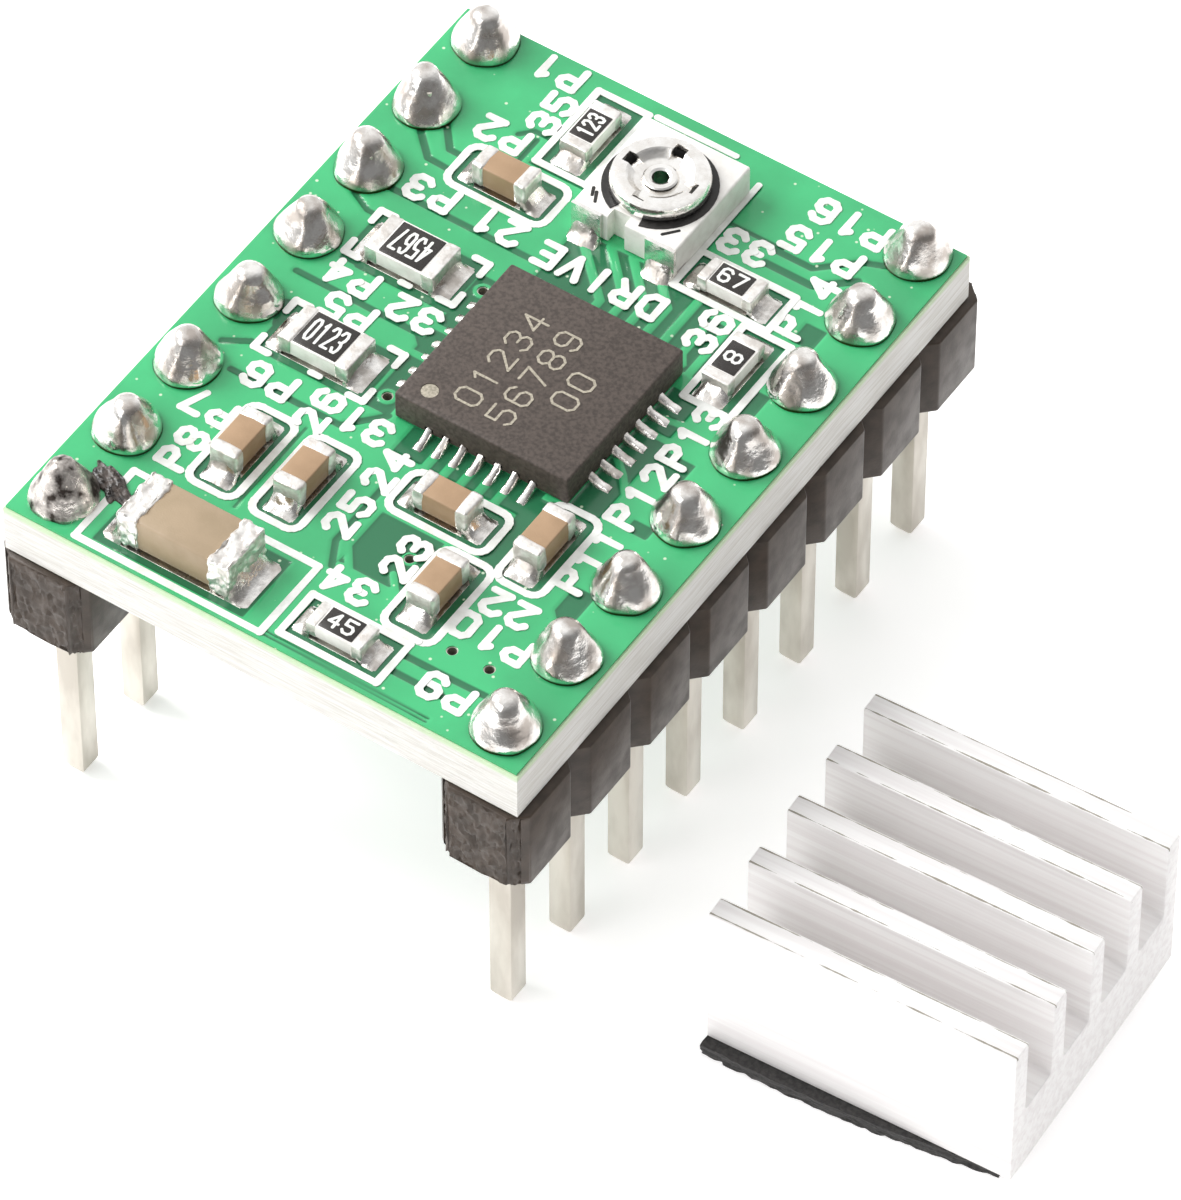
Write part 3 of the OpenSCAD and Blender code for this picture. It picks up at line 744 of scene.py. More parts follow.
def copper_level(x, y):
    """How deep every point lies inside copper, negative outside it, in millimetres"""
    level = np.full(x.shape, 1.0)
    for width, points in CLEARANCES:
        level = np.minimum(level, line_distance(x, y, points) - width / 2)
    for area in BARE_AREAS:
        level = np.minimum(level, area_distance(x, y, area))
    for width, points in TRACKS:
        level = np.maximum(level, width / 2 - line_distance(x, y, points))
    for area in part_areas(0.2):
        level = np.minimum(level, area_distance(x, y, area))
    return level


# ---- Lettering ----

# Strokes of the characters on a grid 4 wide and 6 high
GLYPHS = {
    "0": (((1, 0), (3, 0), (4, 1), (4, 5), (3, 6), (1, 6), (0, 5), (0, 1), (1, 0)),),
    "1": (((1, 5), (2.2, 6), (2.2, 0)),),
    "2": (((0, 5), (1, 6), (3, 6), (4, 5), (4, 4), (0, 0), (4, 0)),),
    "3": (
        ((0, 5), (1, 6), (3, 6), (4, 5), (4, 4), (3, 3), (4, 2), (4, 1), (3, 0), (1, 0), (0, 1)),
        ((3, 3), (1.6, 3)),
    ),
    "4": (((3, 0), (3, 6), (0, 2), (4, 2)),),
    "5": (((4, 6), (0, 6), (0, 3.5), (3, 3.5), (4, 2.5), (4, 1), (3, 0), (1, 0), (0, 1)),),
    "6": (
        ((4, 5), (3, 6), (1, 6), (0, 5), (0, 1), (1, 0), (3, 0), (4, 1), (4, 2.4), (3, 3.3),
         (0, 3.3)),
    ),
    "7": (((0, 6), (4, 6), (1.5, 0)),),
    "8": (
        ((1, 3), (0, 4), (0, 5), (1, 6), (3, 6), (4, 5), (4, 4), (3, 3), (1, 3)),
        ((1, 3), (0, 2), (0, 1), (1, 0), (3, 0), (4, 1), (4, 2), (3, 3)),
    ),
    "9": (
        ((0, 1), (1, 0), (3, 0), (4, 1), (4, 5), (3, 6), (1, 6), (0, 5), (0, 3.6), (1, 2.7),
         (4, 2.7)),
    ),
    "P": (((0, 0), (0, 6), (3, 6), (4, 5), (4, 4), (3, 3), (0, 3)),),
    "D": (((0, 0), (0, 6), (2.6, 6), (4, 4.6), (4, 1.4), (2.6, 0), (0, 0)),),
    "R": (((0, 0), (0, 6), (3, 6), (4, 5), (4, 4), (3, 3), (0, 3)), ((2, 3), (4, 0))),
    "I": (((2, 0), (2, 6)),),
    "V": (((0, 6), (2, 0), (4, 6)),),
    "E": (((4, 6), (0, 6), (0, 0), (4, 0)), ((0, 3), (3.2, 3))),
}
GLYPH_WIDTH, GLYPH_HEIGHT, GLYPH_STEP = 4, 6, 6.5


class Ink:
    """Printed strokes, gathered one by one and made into a single piece at the end"""

    # Strokes that meet lie at slightly different heights, so that no two faces share a plane
    LEVELS = 23

    def __init__(self, thickness, rise):
        self.shape = bmesh.new()
        self.count = 0
        self.rise = rise
        dot = new_disc("stroke_dot", (0, 0, 0), 0.5, thickness, sides=12)
        bevel(dot, thickness * 0.3, segments=1)
        self.dot = dot.data.copy()
        bpy.data.objects.remove(dot)

    def stroke(self, start, end, width, z):
        """Draws the round dot out from start to end"""
        run = Vector(end) - Vector(start)
        z += (self.count % self.LEVELS) * self.rise
        self.count += 1
        drawn = bmesh.new()
        drawn.from_mesh(self.dot)
        for vertex in drawn.verts:
            ahead = run.length if vertex.co.x > 1e-6 else 0
            vertex.co = (vertex.co.x * width + ahead, vertex.co.y * width, vertex.co.z)
        turn = Matrix.Rotation(math.atan2(run.y, run.x), 4, "Z")
        drawn.transform(Matrix.Translation((start[0], start[1], z)) @ turn)
        mesh = bpy.data.meshes.new("stroke")
        drawn.to_mesh(mesh)
        drawn.free()
        self.shape.from_mesh(mesh)
        bpy.data.meshes.remove(mesh)

    def path(self, points, width, z):
        for start, end in zip(points[:-1], points[1:]):
            self.stroke(start, end, width, z)

    def write(self, text, centre, height, turn, width, z, narrow=1.0):
        """Writes a line of characters round a centre. A turn of 0 reads along +X."""
        unit = (height - width) / GLYPH_HEIGHT
        wide = unit * narrow
        length = ((len(text) - 1) * GLYPH_STEP + GLYPH_WIDTH) * wide
        to_place = Matrix.Translation((*centre, 0)) @ Matrix.Rotation(turn, 4, "Z")
        for i, character in enumerate(text):
            left = i * GLYPH_STEP * wide - length / 2
            for line in GLYPHS[character]:
                points = []
                for gx, gy in line:
                    local = Vector((left + gx * wide, gy * unit - (height - width) / 2, 0))
                    points.append((to_place @ local).to_2d())
                self.path(points, width, z)

    def make(self, name):
        mesh = bpy.data.meshes.new(name)
        self.shape.to_mesh(mesh)
        self.shape.free()
        piece = bpy.data.objects.new(name, mesh)
        bpy.context.scene.collection.objects.link(piece)
        return piece


def frame_points(centre, size, corner):
    """The middle line of a printed frame, with rounded corners if corner is above 0"""
    half_x, half_y = size[0] / 2, size[1] / 2
    points = []
    for quarter, (sx, sy) in enumerate(((1, 1), (-1, 1), (-1, -1), (1, -1))):
        middle = (centre[0] + sx * (half_x - corner), centre[1] + sy * (half_y - corner))
        steps = 4 if corner > 0 else 0
        for k in range(steps + 1):
            angle = math.pi / 2 * (quarter + (k / steps if steps else 0))
            points.append(
                (middle[0] + corner * math.cos(angle), middle[1] + corner * math.sin(angle))
            )
    return points + points[:1]


# Printed frames, in millimetres: a centre, an outer size and a corner radius
FRAMES = (
    ((-3.66, -5.38), (1.6, 3.05), 0.42),
    ((-1.84, -5.36), (1.6, 3.05), 0.42),
    ((1.53, -4.2), (3.05, 1.6), 0.42),
    ((-3.2, 5.23), (3.1, 1.65), 0.42),
    ((4.15, -3.86), (1.5, 3.0), 0.42),
    ((2.78, -6.5), (1.65, 3.0), 0.42),
    ((-2.76, -8.53), (5.58, 2.64), 0),
    ((-2.36, 7.7), (1.7, 3.0), 0),
    ((1.69, -8.78), (3.0, 1.62), 0),
    ((3.3, 5.45), (2.95, 1.5), 0),
    ((4.78, 3.33), (1.55, 2.9), 0),
)
# Corner brackets, in millimetres: a centre and an outer size
BRACKETS = (((-3.75, -1.6), (3.4, 2.0)), ((-3.7, 2.05), (3.4, 1.8)))
BRACKET_ARM = 0.62
# Short printed lines
DASHES = (
    ((-3.57, 1.18), (-3.33, 1.18)),
    ((-3.72, -2.42), (-3.48, -2.42)),
    ((1.9, 5.3), (1.9, 8.65)),
    ((-1.4, 9.15), (0.9, 9.15)),
)
# Labels that read towards -X: a text and its centre in millimetres
FAR_LABELS = (
    ("P1", (-4.25, 9.05)),
    ("P2", (-4.25, 6.55)),
    ("P3", (-4.6, 3.98)),
    ("21", (-2.6, 3.98)),
    ("DRIVE", (0.4, 3.9)),
    ("P4", (-4.65, 0.62)),
    ("32", (-2.7, 0.5)),
    ("P5", (-4.1, -0.32)),
    ("P6", (-4.4, -3.2)),
    ("31", (-1.65, -3.1)),
    ("P7", (-5.1, -4.7)),
    ("P16", (4.45, 8.85)),
    ("P15", (4.35, 7.72)),
    ("33", (2.75, 6.78)),
    ("34", (0.85, -7.4)),
    ("P10", (4.55, -6.85)),
    ("22", (4.4, -5.9)),
    ("P9", (4.6, -8.82)),
)
# Labels that read along +Y
SIDE_LABELS = (
    ("35", (-3.62, 7.8)),
    ("P14", (5.05, 5.98)),
    ("36", (3.5, 4.0)),
    ("P13", (5.05, 1.0)),
    ("P12", (5.05, -1.25)),
    ("P11", (5.15, -3.6)),
    ("23", (1.5, -5.95)),
    ("24", (-0.42, -3.95)),
    ("25", (-0.4, -5.6)),
    ("26", (-2.85, -3.3)),
    ("P8", (-4.88, -6.1)),
)


# ---- Operators ----


class DRIVER_OT_board(bpy.types.Operator):
    """Lay the mask with its relief of tracks over the board, and finish the laminate"""

    bl_idname = "driver.board"
    bl_label = "Board"

    def execute(self, context):
        settings = context.scene.driver_board
        low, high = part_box("solder_mask_top")
        size = high - low
        counts = [max(2, round(size[k] / settings.mask_step)) for k in (0, 1)]
        bpy.ops.object.select_all(action="DESELECT")
        bpy.ops.mesh.primitive_grid_add(
            x_subdivisions=counts[0], y_subdivisions=counts[1], size=1,
            location=((low.x + high.x) / 2, (low.y + high.y) / 2, high.z),
        )
        mask = context.object
        mask.name = "mask_sheet"
        mask.scale = (size.x, size.y, 1)
        apply_place(mask)
        self.shape(mask, settings, low.z, high.z)
        hand_over(mask, "module", mask_material(settings), ["solder_mask_top"])
        coat({
            "board_core": laminate_material(),
            "solder_mask_bottom": finish("Underside mask", settings.copper_green),
            "copper_bottom": finish("Copper"),
            "plated_barrels": finish("Tin plating"),
        })
        return {"FINISHED"}

    def shape(self, mask, settings, floor, top):
        """Gives the sheet its relief and thickness, drills the vias and marks the copper"""
        points = np.empty(len(mask.data.vertices) * 3)
        mask.data.vertices.foreach_get("co", points)
        points = points.reshape(-1, 3)
        level = copper_level(points[:, 0] / MM, points[:, 1] / MM)
        slope, tuck = 0.05, 0.035 * MM
        step = np.clip(level / slope + 0.5, 0, 1)
        points[:, 2] = top - settings.relief * (1 - step * step * (3 - 2 * step))
        mask.data.vertices.foreach_set("co", points.ravel())
        enter_edit(mask)
        bpy.ops.mesh.select_all(action="SELECT")
        bpy.ops.mesh.region_to_loop()
        bpy.ops.mesh.extrude_edges_move()
        leave_edit()
        for vertex in mask.data.vertices:
            if vertex.select:
                vertex.co.z = floor - tuck
        enter_edit(mask)
        bpy.ops.mesh.edge_face_add()
        leave_edit()
        drills = [
            new_disc("drill", (x * MM, y * MM, floor - 1 * MM), VIA_RADIUS * MM, 3 * MM, 24)
            for x, y in VIAS
        ]
        cut(mask, join(drills, "drills"), "MANIFOLD")
        smooth(mask, 60)
        points = np.empty(len(mask.data.vertices) * 3)
        mask.data.vertices.foreach_get("co", points)
        level = copper_level(points[0::3] / MM, points[1::3] / MM)
        attribute = mask.data.attributes.new("copper", "FLOAT", "POINT")
        attribute.data.foreach_set("value", np.clip(level, -1, 1).astype(np.float32))


class DRIVER_OT_legend(bpy.types.Operator):
    """Print the frames and the plain numbering on the mask"""

    bl_idname = "driver.legend"
    bl_label = "Legend"

    def execute(self, context):
        settings = context.scene.driver_board
        low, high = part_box("silkscreen_top")
        stroke = settings.legend_stroke
        ink = Ink(high.z - low.z, 0.0008 * MM)
        z = low.z - 0.01 * MM
        for centre, size, corner in FRAMES:
            middle = [k * MM for k in centre]
            inner = [k * MM - stroke for k in size]
            points = frame_points(middle, inner, max(0.0, corner * MM - stroke / 2))
            ink.path(points, stroke, z)
        for centre, size in BRACKETS:
            for sx in (-1, 1):
                for sy in (-1, 1):
                    corner = (
                        centre[0] * MM + sx * (size[0] * MM - stroke) / 2,
                        centre[1] * MM + sy * (size[1] * MM - stroke) / 2,
                    )
                    arm = BRACKET_ARM * MM - stroke
                    points = (
                        (corner[0] - sx * arm, corner[1]),
                        corner,
                        (corner[0], corner[1] - sy * arm),
                    )
                    ink.path(points, stroke, z)
        for start, end in DASHES:
            points = [[k * MM for k in point] for point in (start, end)]
            ink.path(points, stroke * 0.9, z)
        for labels, turn in ((FAR_LABELS, math.pi), (SIDE_LABELS, math.pi / 2)):
            for text, centre in labels:
                middle = [k * MM for k in centre]
                ink.write(text, middle, settings.letter_height, turn, stroke, z)
        piece = ink.make("legend_print")
        hand_over(piece, "module", finish("Legend ink"), ["silkscreen_top"])
        return {"FINISHED"}


class DRIVER_OT_cones(bpy.types.Operator):
    """Flow a lumpy cone of solder round every pin"""

    bl_idname = "driver.cones"
    bl_label = "Soldered cones"

    def execute(self, context):
        settings = context.scene.driver_parts
        for side in ("left", "right"):
            node = f"solder_joints_{side}"
            x = centre_of(node).x
            low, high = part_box(node)
            base = solder_foot()
            height = high.z - base
            radius = (high.x - low.x) / 2
            cones = []
            for i, y in enumerate(pin_places()):
                cones.append(self.cone(settings, Vector((x, y, base)), radius, height, i, side))
            if side == "left":
                burnt = cones.pop(0)
                burnt.name = "cone_with_flux"
                hand_over(burnt, "module", finish("Burnt solder"))
                self.residue(Vector((x, pin_places()[0], base)))
            piece = join(cones, f"cones_{side}")
            hand_over(piece, "module", cone_material(), [node])
        return {"FINISHED"}

    def residue(self, foot):
        """Burnt flux that ran from the near left cone over the mask"""
        bpy.ops.object.select_all(action="DESELECT")
        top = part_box("solder_mask_top")[1].z
        bpy.ops.mesh.primitive_ico_sphere_add(subdivisions=5, radius=1)
        piece = bpy.context.object
        piece.name = "flux_residue"
        length, width, height = 0.75 * MM, 0.34 * MM, 0.16 * MM
        for vertex in piece.data.vertices:
            edge = 1 + 0.35 * noise.noise(Vector((vertex.co.x * 2.1, vertex.co.y * 2.1, 0.4)))
            lump = 1 + 0.5 * noise.noise(vertex.co * 5)
            vertex.co.x *= length * edge
            vertex.co.y *= width * edge
            vertex.co.z = max(-0.02 * MM, vertex.co.z * height * lump)
        smooth(piece, 40)
        place(piece, (foot.x + 0.72 * MM, foot.y + 0.92 * MM, top), math.radians(-28))
        hand_over(piece, "module", finish("Burnt flux"))

    def cone(self, settings, foot, radius, height, number, side):
        steps = (
            (0.96, 0.0), (1.0, 0.05), (0.99, 0.11), (0.95, 0.2), (0.87, 0.32), (0.76, 0.46),
            (0.64, 0.6), (0.53, 0.74), (0.43, 0.86), (0.33, 0.95), (0.18, 0.99),
        )
        profile = [(0.0, 0.0), *((radius * r, height * z) for r, z in steps), (0.0, height)]
        piece = new_spin(f"cone_{side}_{number}", profile, (0, 0, 0), settings.cone_steps)
        seed = number + (40 if side == "right" else 0)
        lean = 0.2 * MM * noise.noise(Vector((seed * 1.9, 3.3, 0.7)))
        for vertex in piece.data.vertices:
            rise = vertex.co.z / height
            angle = math.atan2(vertex.co.y, vertex.co.x)
            fold = math.cos(angle * 3 + seed * 2.1) * 0.5 + math.cos(angle * 5 + seed * 4.7) * 0.35
            swell = 1 + 0.09 * fold * math.sin(math.pi * min(1, rise * 1.1))
            vertex.co.x = vertex.co.x * swell + lean * rise
            vertex.co.y = vertex.co.y * swell - lean * rise * 0.7
        burnt = side == "left" and number == 0
        roughen(
            piece, settings.cone_lumps, 0.55 * MM, seed,
            keep=lambda co: co.z < height * 0.04 or co.z > height * 0.92,
        )
        if burnt:
            roughen(
                piece, 0.9 * settings.cone_lumps, 0.2 * MM, seed,
                keep=lambda co: co.z < height * 0.04 or co.z > height * 0.97,
            )
        smooth(piece, 60)
        piece.data.transform(Matrix.Translation(foot))
        return piece


def pin_places():
    """How far along Y the eight pins of a row stand"""
    low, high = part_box("header_body_left")
    pitch = (high.y - low.y) / 8
    return [low.y + pitch * (i + 0.5) for i in range(8)]


class DRIVER_OT_strips(bpy.types.Operator):
    """Mould the two pin strips and draw their square pins"""

    bl_idname = "driver.strips"
    bl_label = "Pin strips"

    def execute(self, context):
        for side in ("left", "right"):
            self.strip(side)
            self.pins(side)
        return {"FINISHED"}

    def strip(self, side):
        node = f"header_body_{side}"
        low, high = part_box(node)
        half = (high.x - low.x) / 2
        notch = 0.42 * MM
        blocks = []
        for i, y in enumerate(pin_places()):
            step = (high.y - low.y) / 16
            block = new_box(
                f"{side}_block_{i}", (low.x, y - step, low.z), (high.x, y + step, high.z)
            )
            points = block.data.vertices

            def upright(edge):
                return abs(points[edge.vertices[0]].co.z - points[edge.vertices[1]].co.z) > half

            pick(block, "EDGE", upright)
            bpy.ops.mesh.bevel(offset=notch, segments=1, affect="EDGES")
            leave_edit()
            bevel(block, 0.05 * MM, segments=2, angle=20)
            torn = i in (0, 7)
            if torn:
                self.break_end(block, y, step, i)
            smooth(block, 75 if torn else 25)
            blocks.append(block)
        piece = join(blocks, f"strip_{side}")
        hand_over(piece, "module", finish("Strip plastic"), [node])

    def break_end(self, block, y, step, number):
        """Tears the outer end of a strip, where it was snapped from a longer one"""
        outward = -1 if number == 0 else 1
        reach = step * 0.75

        def outermost(face):
            return (face.center.y - y) * outward > reach and face.area > 0.3 * MM * MM

        pick(block, "FACE", outermost)
        bpy.ops.mesh.subdivide(number_cuts=21)
        leave_edit()
        for vertex in block.data.vertices:
            depth = (vertex.co.y - y) * outward - step * 0.8
            if depth > 0:
                lump = noise.noise(vertex.co / (0.22 * MM) + Vector((number * 3.1, 0, 0)))
                fine = noise.noise(vertex.co / (0.08 * MM))
                vertex.co.y -= outward * 0.12 * MM * (0.5 + 0.5 * lump + 0.7 * fine)
                vertex.co.z += 0.06 * MM * fine

    def pins(self, side):
        node = f"header_pins_{side}"
        low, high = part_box(node)
        half = (high.x - low.x) / 2
        taper, tip = 0.2 * MM, 0.21 * MM
        x = centre_of(node).x
        pins = []
        for i, y in enumerate(pin_places()):
            pin = new_box(
                f"{side}_pin_{i}", (x - half, y - half, low.z), (x + half, y + half, high.z)
            )
            for vertex in pin.data.vertices:
                if vertex.co.z < low.z + 1e-6:
                    vertex.co.z += taper
            pick(pin, "FACE", lambda face: face.normal.z < -0.5)
            bpy.ops.mesh.extrude_region_move(
                TRANSFORM_OT_translate={"value": (0, 0, -taper)}
            )
            leave_edit()
            for vertex in pin.data.vertices:
                if vertex.co.z < low.z + 1e-6:
                    vertex.co.x = x + math.copysign(tip, vertex.co.x - x)
                    vertex.co.y = y + math.copysign(tip, vertex.co.y - y)
            bevel(pin, 0.035 * MM, segments=2, angle=20)
            smooth(pin, 30)
            pins.append(pin)
        piece = join(pins, f"pins_{side}")
        hand_over(piece, "module", finish("Tin plating"), [node])


class DRIVER_OT_chip(bpy.types.Operator):
    """Mould the driver chip, mark it and solder its leads"""

    bl_idname = "driver.chip"
    bl_label = "Driver chip"

    def execute(self, context):
        low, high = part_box("chip_package")
        middle = (low + high) / 2
        package = new_box("chip_case", low, high)
        bevel(package, 0.06 * MM, segments=3)
        dot = (middle.x - 1.83 * MM, middle.y - 1.97 * MM, high.z - 0.03 * MM)
        cut(package, new_disc("dot_cutter", dot, 0.23 * MM, 1 * MM, sides=40))
        smooth(package, 30)
        hand_over(package, "module", finish("Chip epoxy"), ["chip_package"])
        paint = (dot[0], dot[1], dot[2] - 0.005 * MM)
        pin_one = new_disc("chip_dot", paint, 0.225 * MM, 0.02 * MM, sides=40)
        bevel(pin_one, 0.005 * MM, segments=1)
        hand_over(pin_one, "module", finish("Chip marking"))
        self.mark(middle, high.z)
        self.joints(middle)
        coat({
            "chip_leads": finish("Tin plating"),
            "chip_thermal_pad": finish("Tin plating"),
            "chip_die": finish("Silicon"),
            "chip_bond_wires": finish("Gold wire"),
        })
        return {"FINISHED"}

    def mark(self, middle, top):
        """Three lines of plain digits"""
        ink = Ink(0.006 * MM, 0.0005 * MM)
        for text, x, y, height in (
            ("01234", -0.95, -0.2, 0.72),
            ("56789", 0.05, -0.25, 0.72),
            ("00", 1.05, -0.1, 0.72),
        ):
            centre = (middle.x + x * MM, middle.y + y * MM)
            ink.write(text, centre, height * MM, math.pi / 2, 0.07 * MM, top - 0.002 * MM)
        piece = ink.make("chip_marks")
        hand_over(piece, "module", finish("Chip marking"))

    def joints(self, middle):
        """Twenty-eight soldered leads, seven on each side"""
        base = solder_foot()
        half = size_of("chip_package").x / 2
        joints = []
        for side in range(4):
            turn = side * math.pi / 2
            out = Vector((math.cos(turn), math.sin(turn), 0))
            across = Vector((-math.sin(turn), math.cos(turn), 0))
            for i in range(7):
                spot = middle + out * (half - 0.03 * MM) + across * (i - 3) * 0.5 * MM
                spot.z = base
                seed = side * 7 + i
                size = (0.6 * MM, 0.27 * MM)
                joints.append(
                    mound(f"lead_{seed}", size, 0.1 * MM, 0.3 * MM, spot, turn, 4, seed)
                )
        piece = join(joints, "lead_solder")
        hand_over(piece, "module", finish("Solder"), ["chip_solder"])


class DRIVER_OT_passives(bpy.types.Operator):
    """Build the capacitors and resistors with their metal ends and solder"""

    bl_idname = "driver.passives"
    bl_label = "Capacitors and resistors"

    # Generic digits on the resistors, from the first to the last, and their turns
    marks = (("123", 1), ("45", 0), ("67", 0), ("8", 1), ("0123", 0), ("4567", 2))

    def execute(self, context):
        settings = context.scene.driver_parts
        mounds = []
        for i in CAPACITORS:
            self.capacitor(settings, i)
            mounds += self.solder(f"capacitor_{i}_ends", i)
        for i in RESISTORS:
            self.resistor(i)
            mounds += self.solder(f"resistor_{i}_ends", 20 + i)
        piece = join(mounds, "part_solder")
        hand_over(piece, "module", finish("Solder"), ["passive_solder"])
        self.pads()
        return {"FINISHED"}

    def frame_of(self, node):
        """The foot and the turn of a part, and its length, width and height"""
        foot, size = centre_of(node), size_of(node)
        foot.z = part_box(node)[0].z
        if size.x > size.y:
            return foot, 0.0, tuple(size)
        return foot, math.pi / 2, (size.y, size.x, size.z)

    def body(self, name, node, sides, bottom, top, rounding, segments=2):
        """A rounded block in the middle of a part, between two heights above its foot"""
        foot, turn, _ = self.frame_of(node)
        piece = new_block(name, *sides, bottom, top)
        bevel(piece, rounding, segments=segments)
        smooth(piece, 35)
        place(piece, foot, turn)
        return piece

    def ends(self, name, node, reach, rounding, seed):
        """Two metal caps, rounded and slightly uneven"""
        foot, turn, (length, width, height) = self.frame_of(node)
        large = length > 3 * MM and height > 1 * MM
        caps = []
        for side in (-1, 1):
            near, far = sorted((side * (length / 2 - reach), side * length / 2))
            cap = new_box(f"{name}_cap", (near, -width / 2, 0), (far, width / 2, height))
            if large:
                subdivide(cap, 11)
            bevel(cap, rounding, segments=4)
            caps.append(cap)
        piece = join(caps, name)
        apply_modifier(piece, "SUBSURF", levels=1, render_levels=1, subdivision_type="SIMPLE")
        roughen(piece, 0.035 * MM, 0.2 * MM, seed)
        if large:
            roughen(piece, 0.06 * MM, 0.34 * MM, seed + 1)
            roughen(piece, 0.035 * MM, 0.12 * MM, seed + 2)
        smooth(piece, 50)
        place(piece, foot, turn)
        return piece

    def capacitor(self, settings, i):
        large = i == LARGE_CAPACITOR
        node = f"capacitor_{i}_ends"
        length, width, height = self.frame_of(node)[2]
        edge = 0.03 * MM
        reach = 0.6 * MM if large else 0.36 * MM
        inset = reach - 0.1 * MM if large else 0.1 * MM
        sides = (length - 2 * inset, width - 2 * edge)
        rounding = settings.edge_round * (0.9 if large else 0.6)
        name = f"capacitor_{i}_block"
        body = self.body(name, node, sides, edge, height - edge, rounding, segments=3)
        ceramic = finish("Large capacitor ceramic" if large else "Capacitor ceramic")
        hand_over(body, "module", ceramic, [f"capacitor_{i}_body"])
        caps = self.ends(f"capacitor_{i}_caps", node, reach, settings.edge_round * 1.4, i)
        hand_over(caps, "module", finish("Part ends"), [node])

    def resistor(self, i):
        node = f"resistor_{i}_ends"
        foot, _, (length, width, height) = self.frame_of(node)
        edge = 0.03 * MM
        reach = 0.38 * MM if i in LARGE_RESISTORS else 0.3 * MM
        sides = (length - 0.16 * MM, width - edge)
        name = f"resistor_{i}_block"
        body = self.body(name, node, sides, edge, height - edge / 2, 0.025 * MM)
        hand_over(body, "module", finish("White ceramic"), [f"resistor_{i}_ceramic"])
        glaze_x = length / 2 - reach - 0.02 * MM
        sides = (2 * glaze_x, width - 0.14 * MM)
        name, bottom, top = f"resistor_{i}_cover", height - 2 * edge, height + 0.012 * MM
        glaze = self.body(name, node, sides, bottom, top, 0.02 * MM)
        black = finish("Resistor glaze")
        hand_over(glaze, "module", black, [f"resistor_{i}_glaze"])
        caps = self.ends(f"resistor_{i}_caps", node, reach, 0.05 * MM, 30 + i)
        hand_over(caps, "module", finish("Part ends"), [node])
        self.mark(i, foot, foot.z + height + 0.01 * MM, glaze_x * 2, width)

    def mark(self, i, foot, z, length, width):
        text, quarter = self.marks[i - 1]
        ink = Ink(0.008 * MM, 0.0005 * MM)
        height = width * 0.62
        narrow = min(1.0, 0.86 * length / ((len(text) * GLYPH_STEP - 2) * height / GLYPH_HEIGHT))
        turn = quarter * math.pi / 2
        ink.write(text, (foot.x, foot.y), height, turn, 0.08 * MM, z, narrow)
        piece = ink.make(f"resistor_{i}_digits")
        hand_over(piece, "module", finish("Legend ink"))

    def solder(self, node, seed):
        """The two mounds of a part, which climb its ends"""
        foot, turn, (length, width, height) = self.frame_of(node)
        base = solder_foot()
        mounds = []
        for side in (0, 1):
            angle = turn + side * math.pi
            out = Vector((math.cos(angle), math.sin(angle), 0))
            spot = foot + out * (length / 2 - 0.12 * MM)
            spot.z = base
            run = 0.6 * MM if length > 3 * MM else 0.52 * MM
            size = (run, width + 0.1 * MM)
            climb = (foot.z - base) + height * 0.72
            name = f"mound_{seed}_{side}"
            mounds.append(
                mound(name, size, 0.07 * MM, climb, spot, angle, 9, seed + side * 0.5)
            )
        return mounds

    def pads(self):
        """The tinned pads that show beside the solder"""
        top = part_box("copper_top")[1].z
        pads = []
        for left, near, right, far in part_areas(0):
            low = (left * MM, near * MM, top - 0.06 * MM)
            high = (right * MM, far * MM, top - 0.005 * MM)
            pads.append(new_box("pad", low, high))
        piece = join(pads, "tinned_pads")
        bevel(piece, 0.015 * MM, segments=1)
        hand_over(piece, "module", finish("Solder"), ["copper_top"])


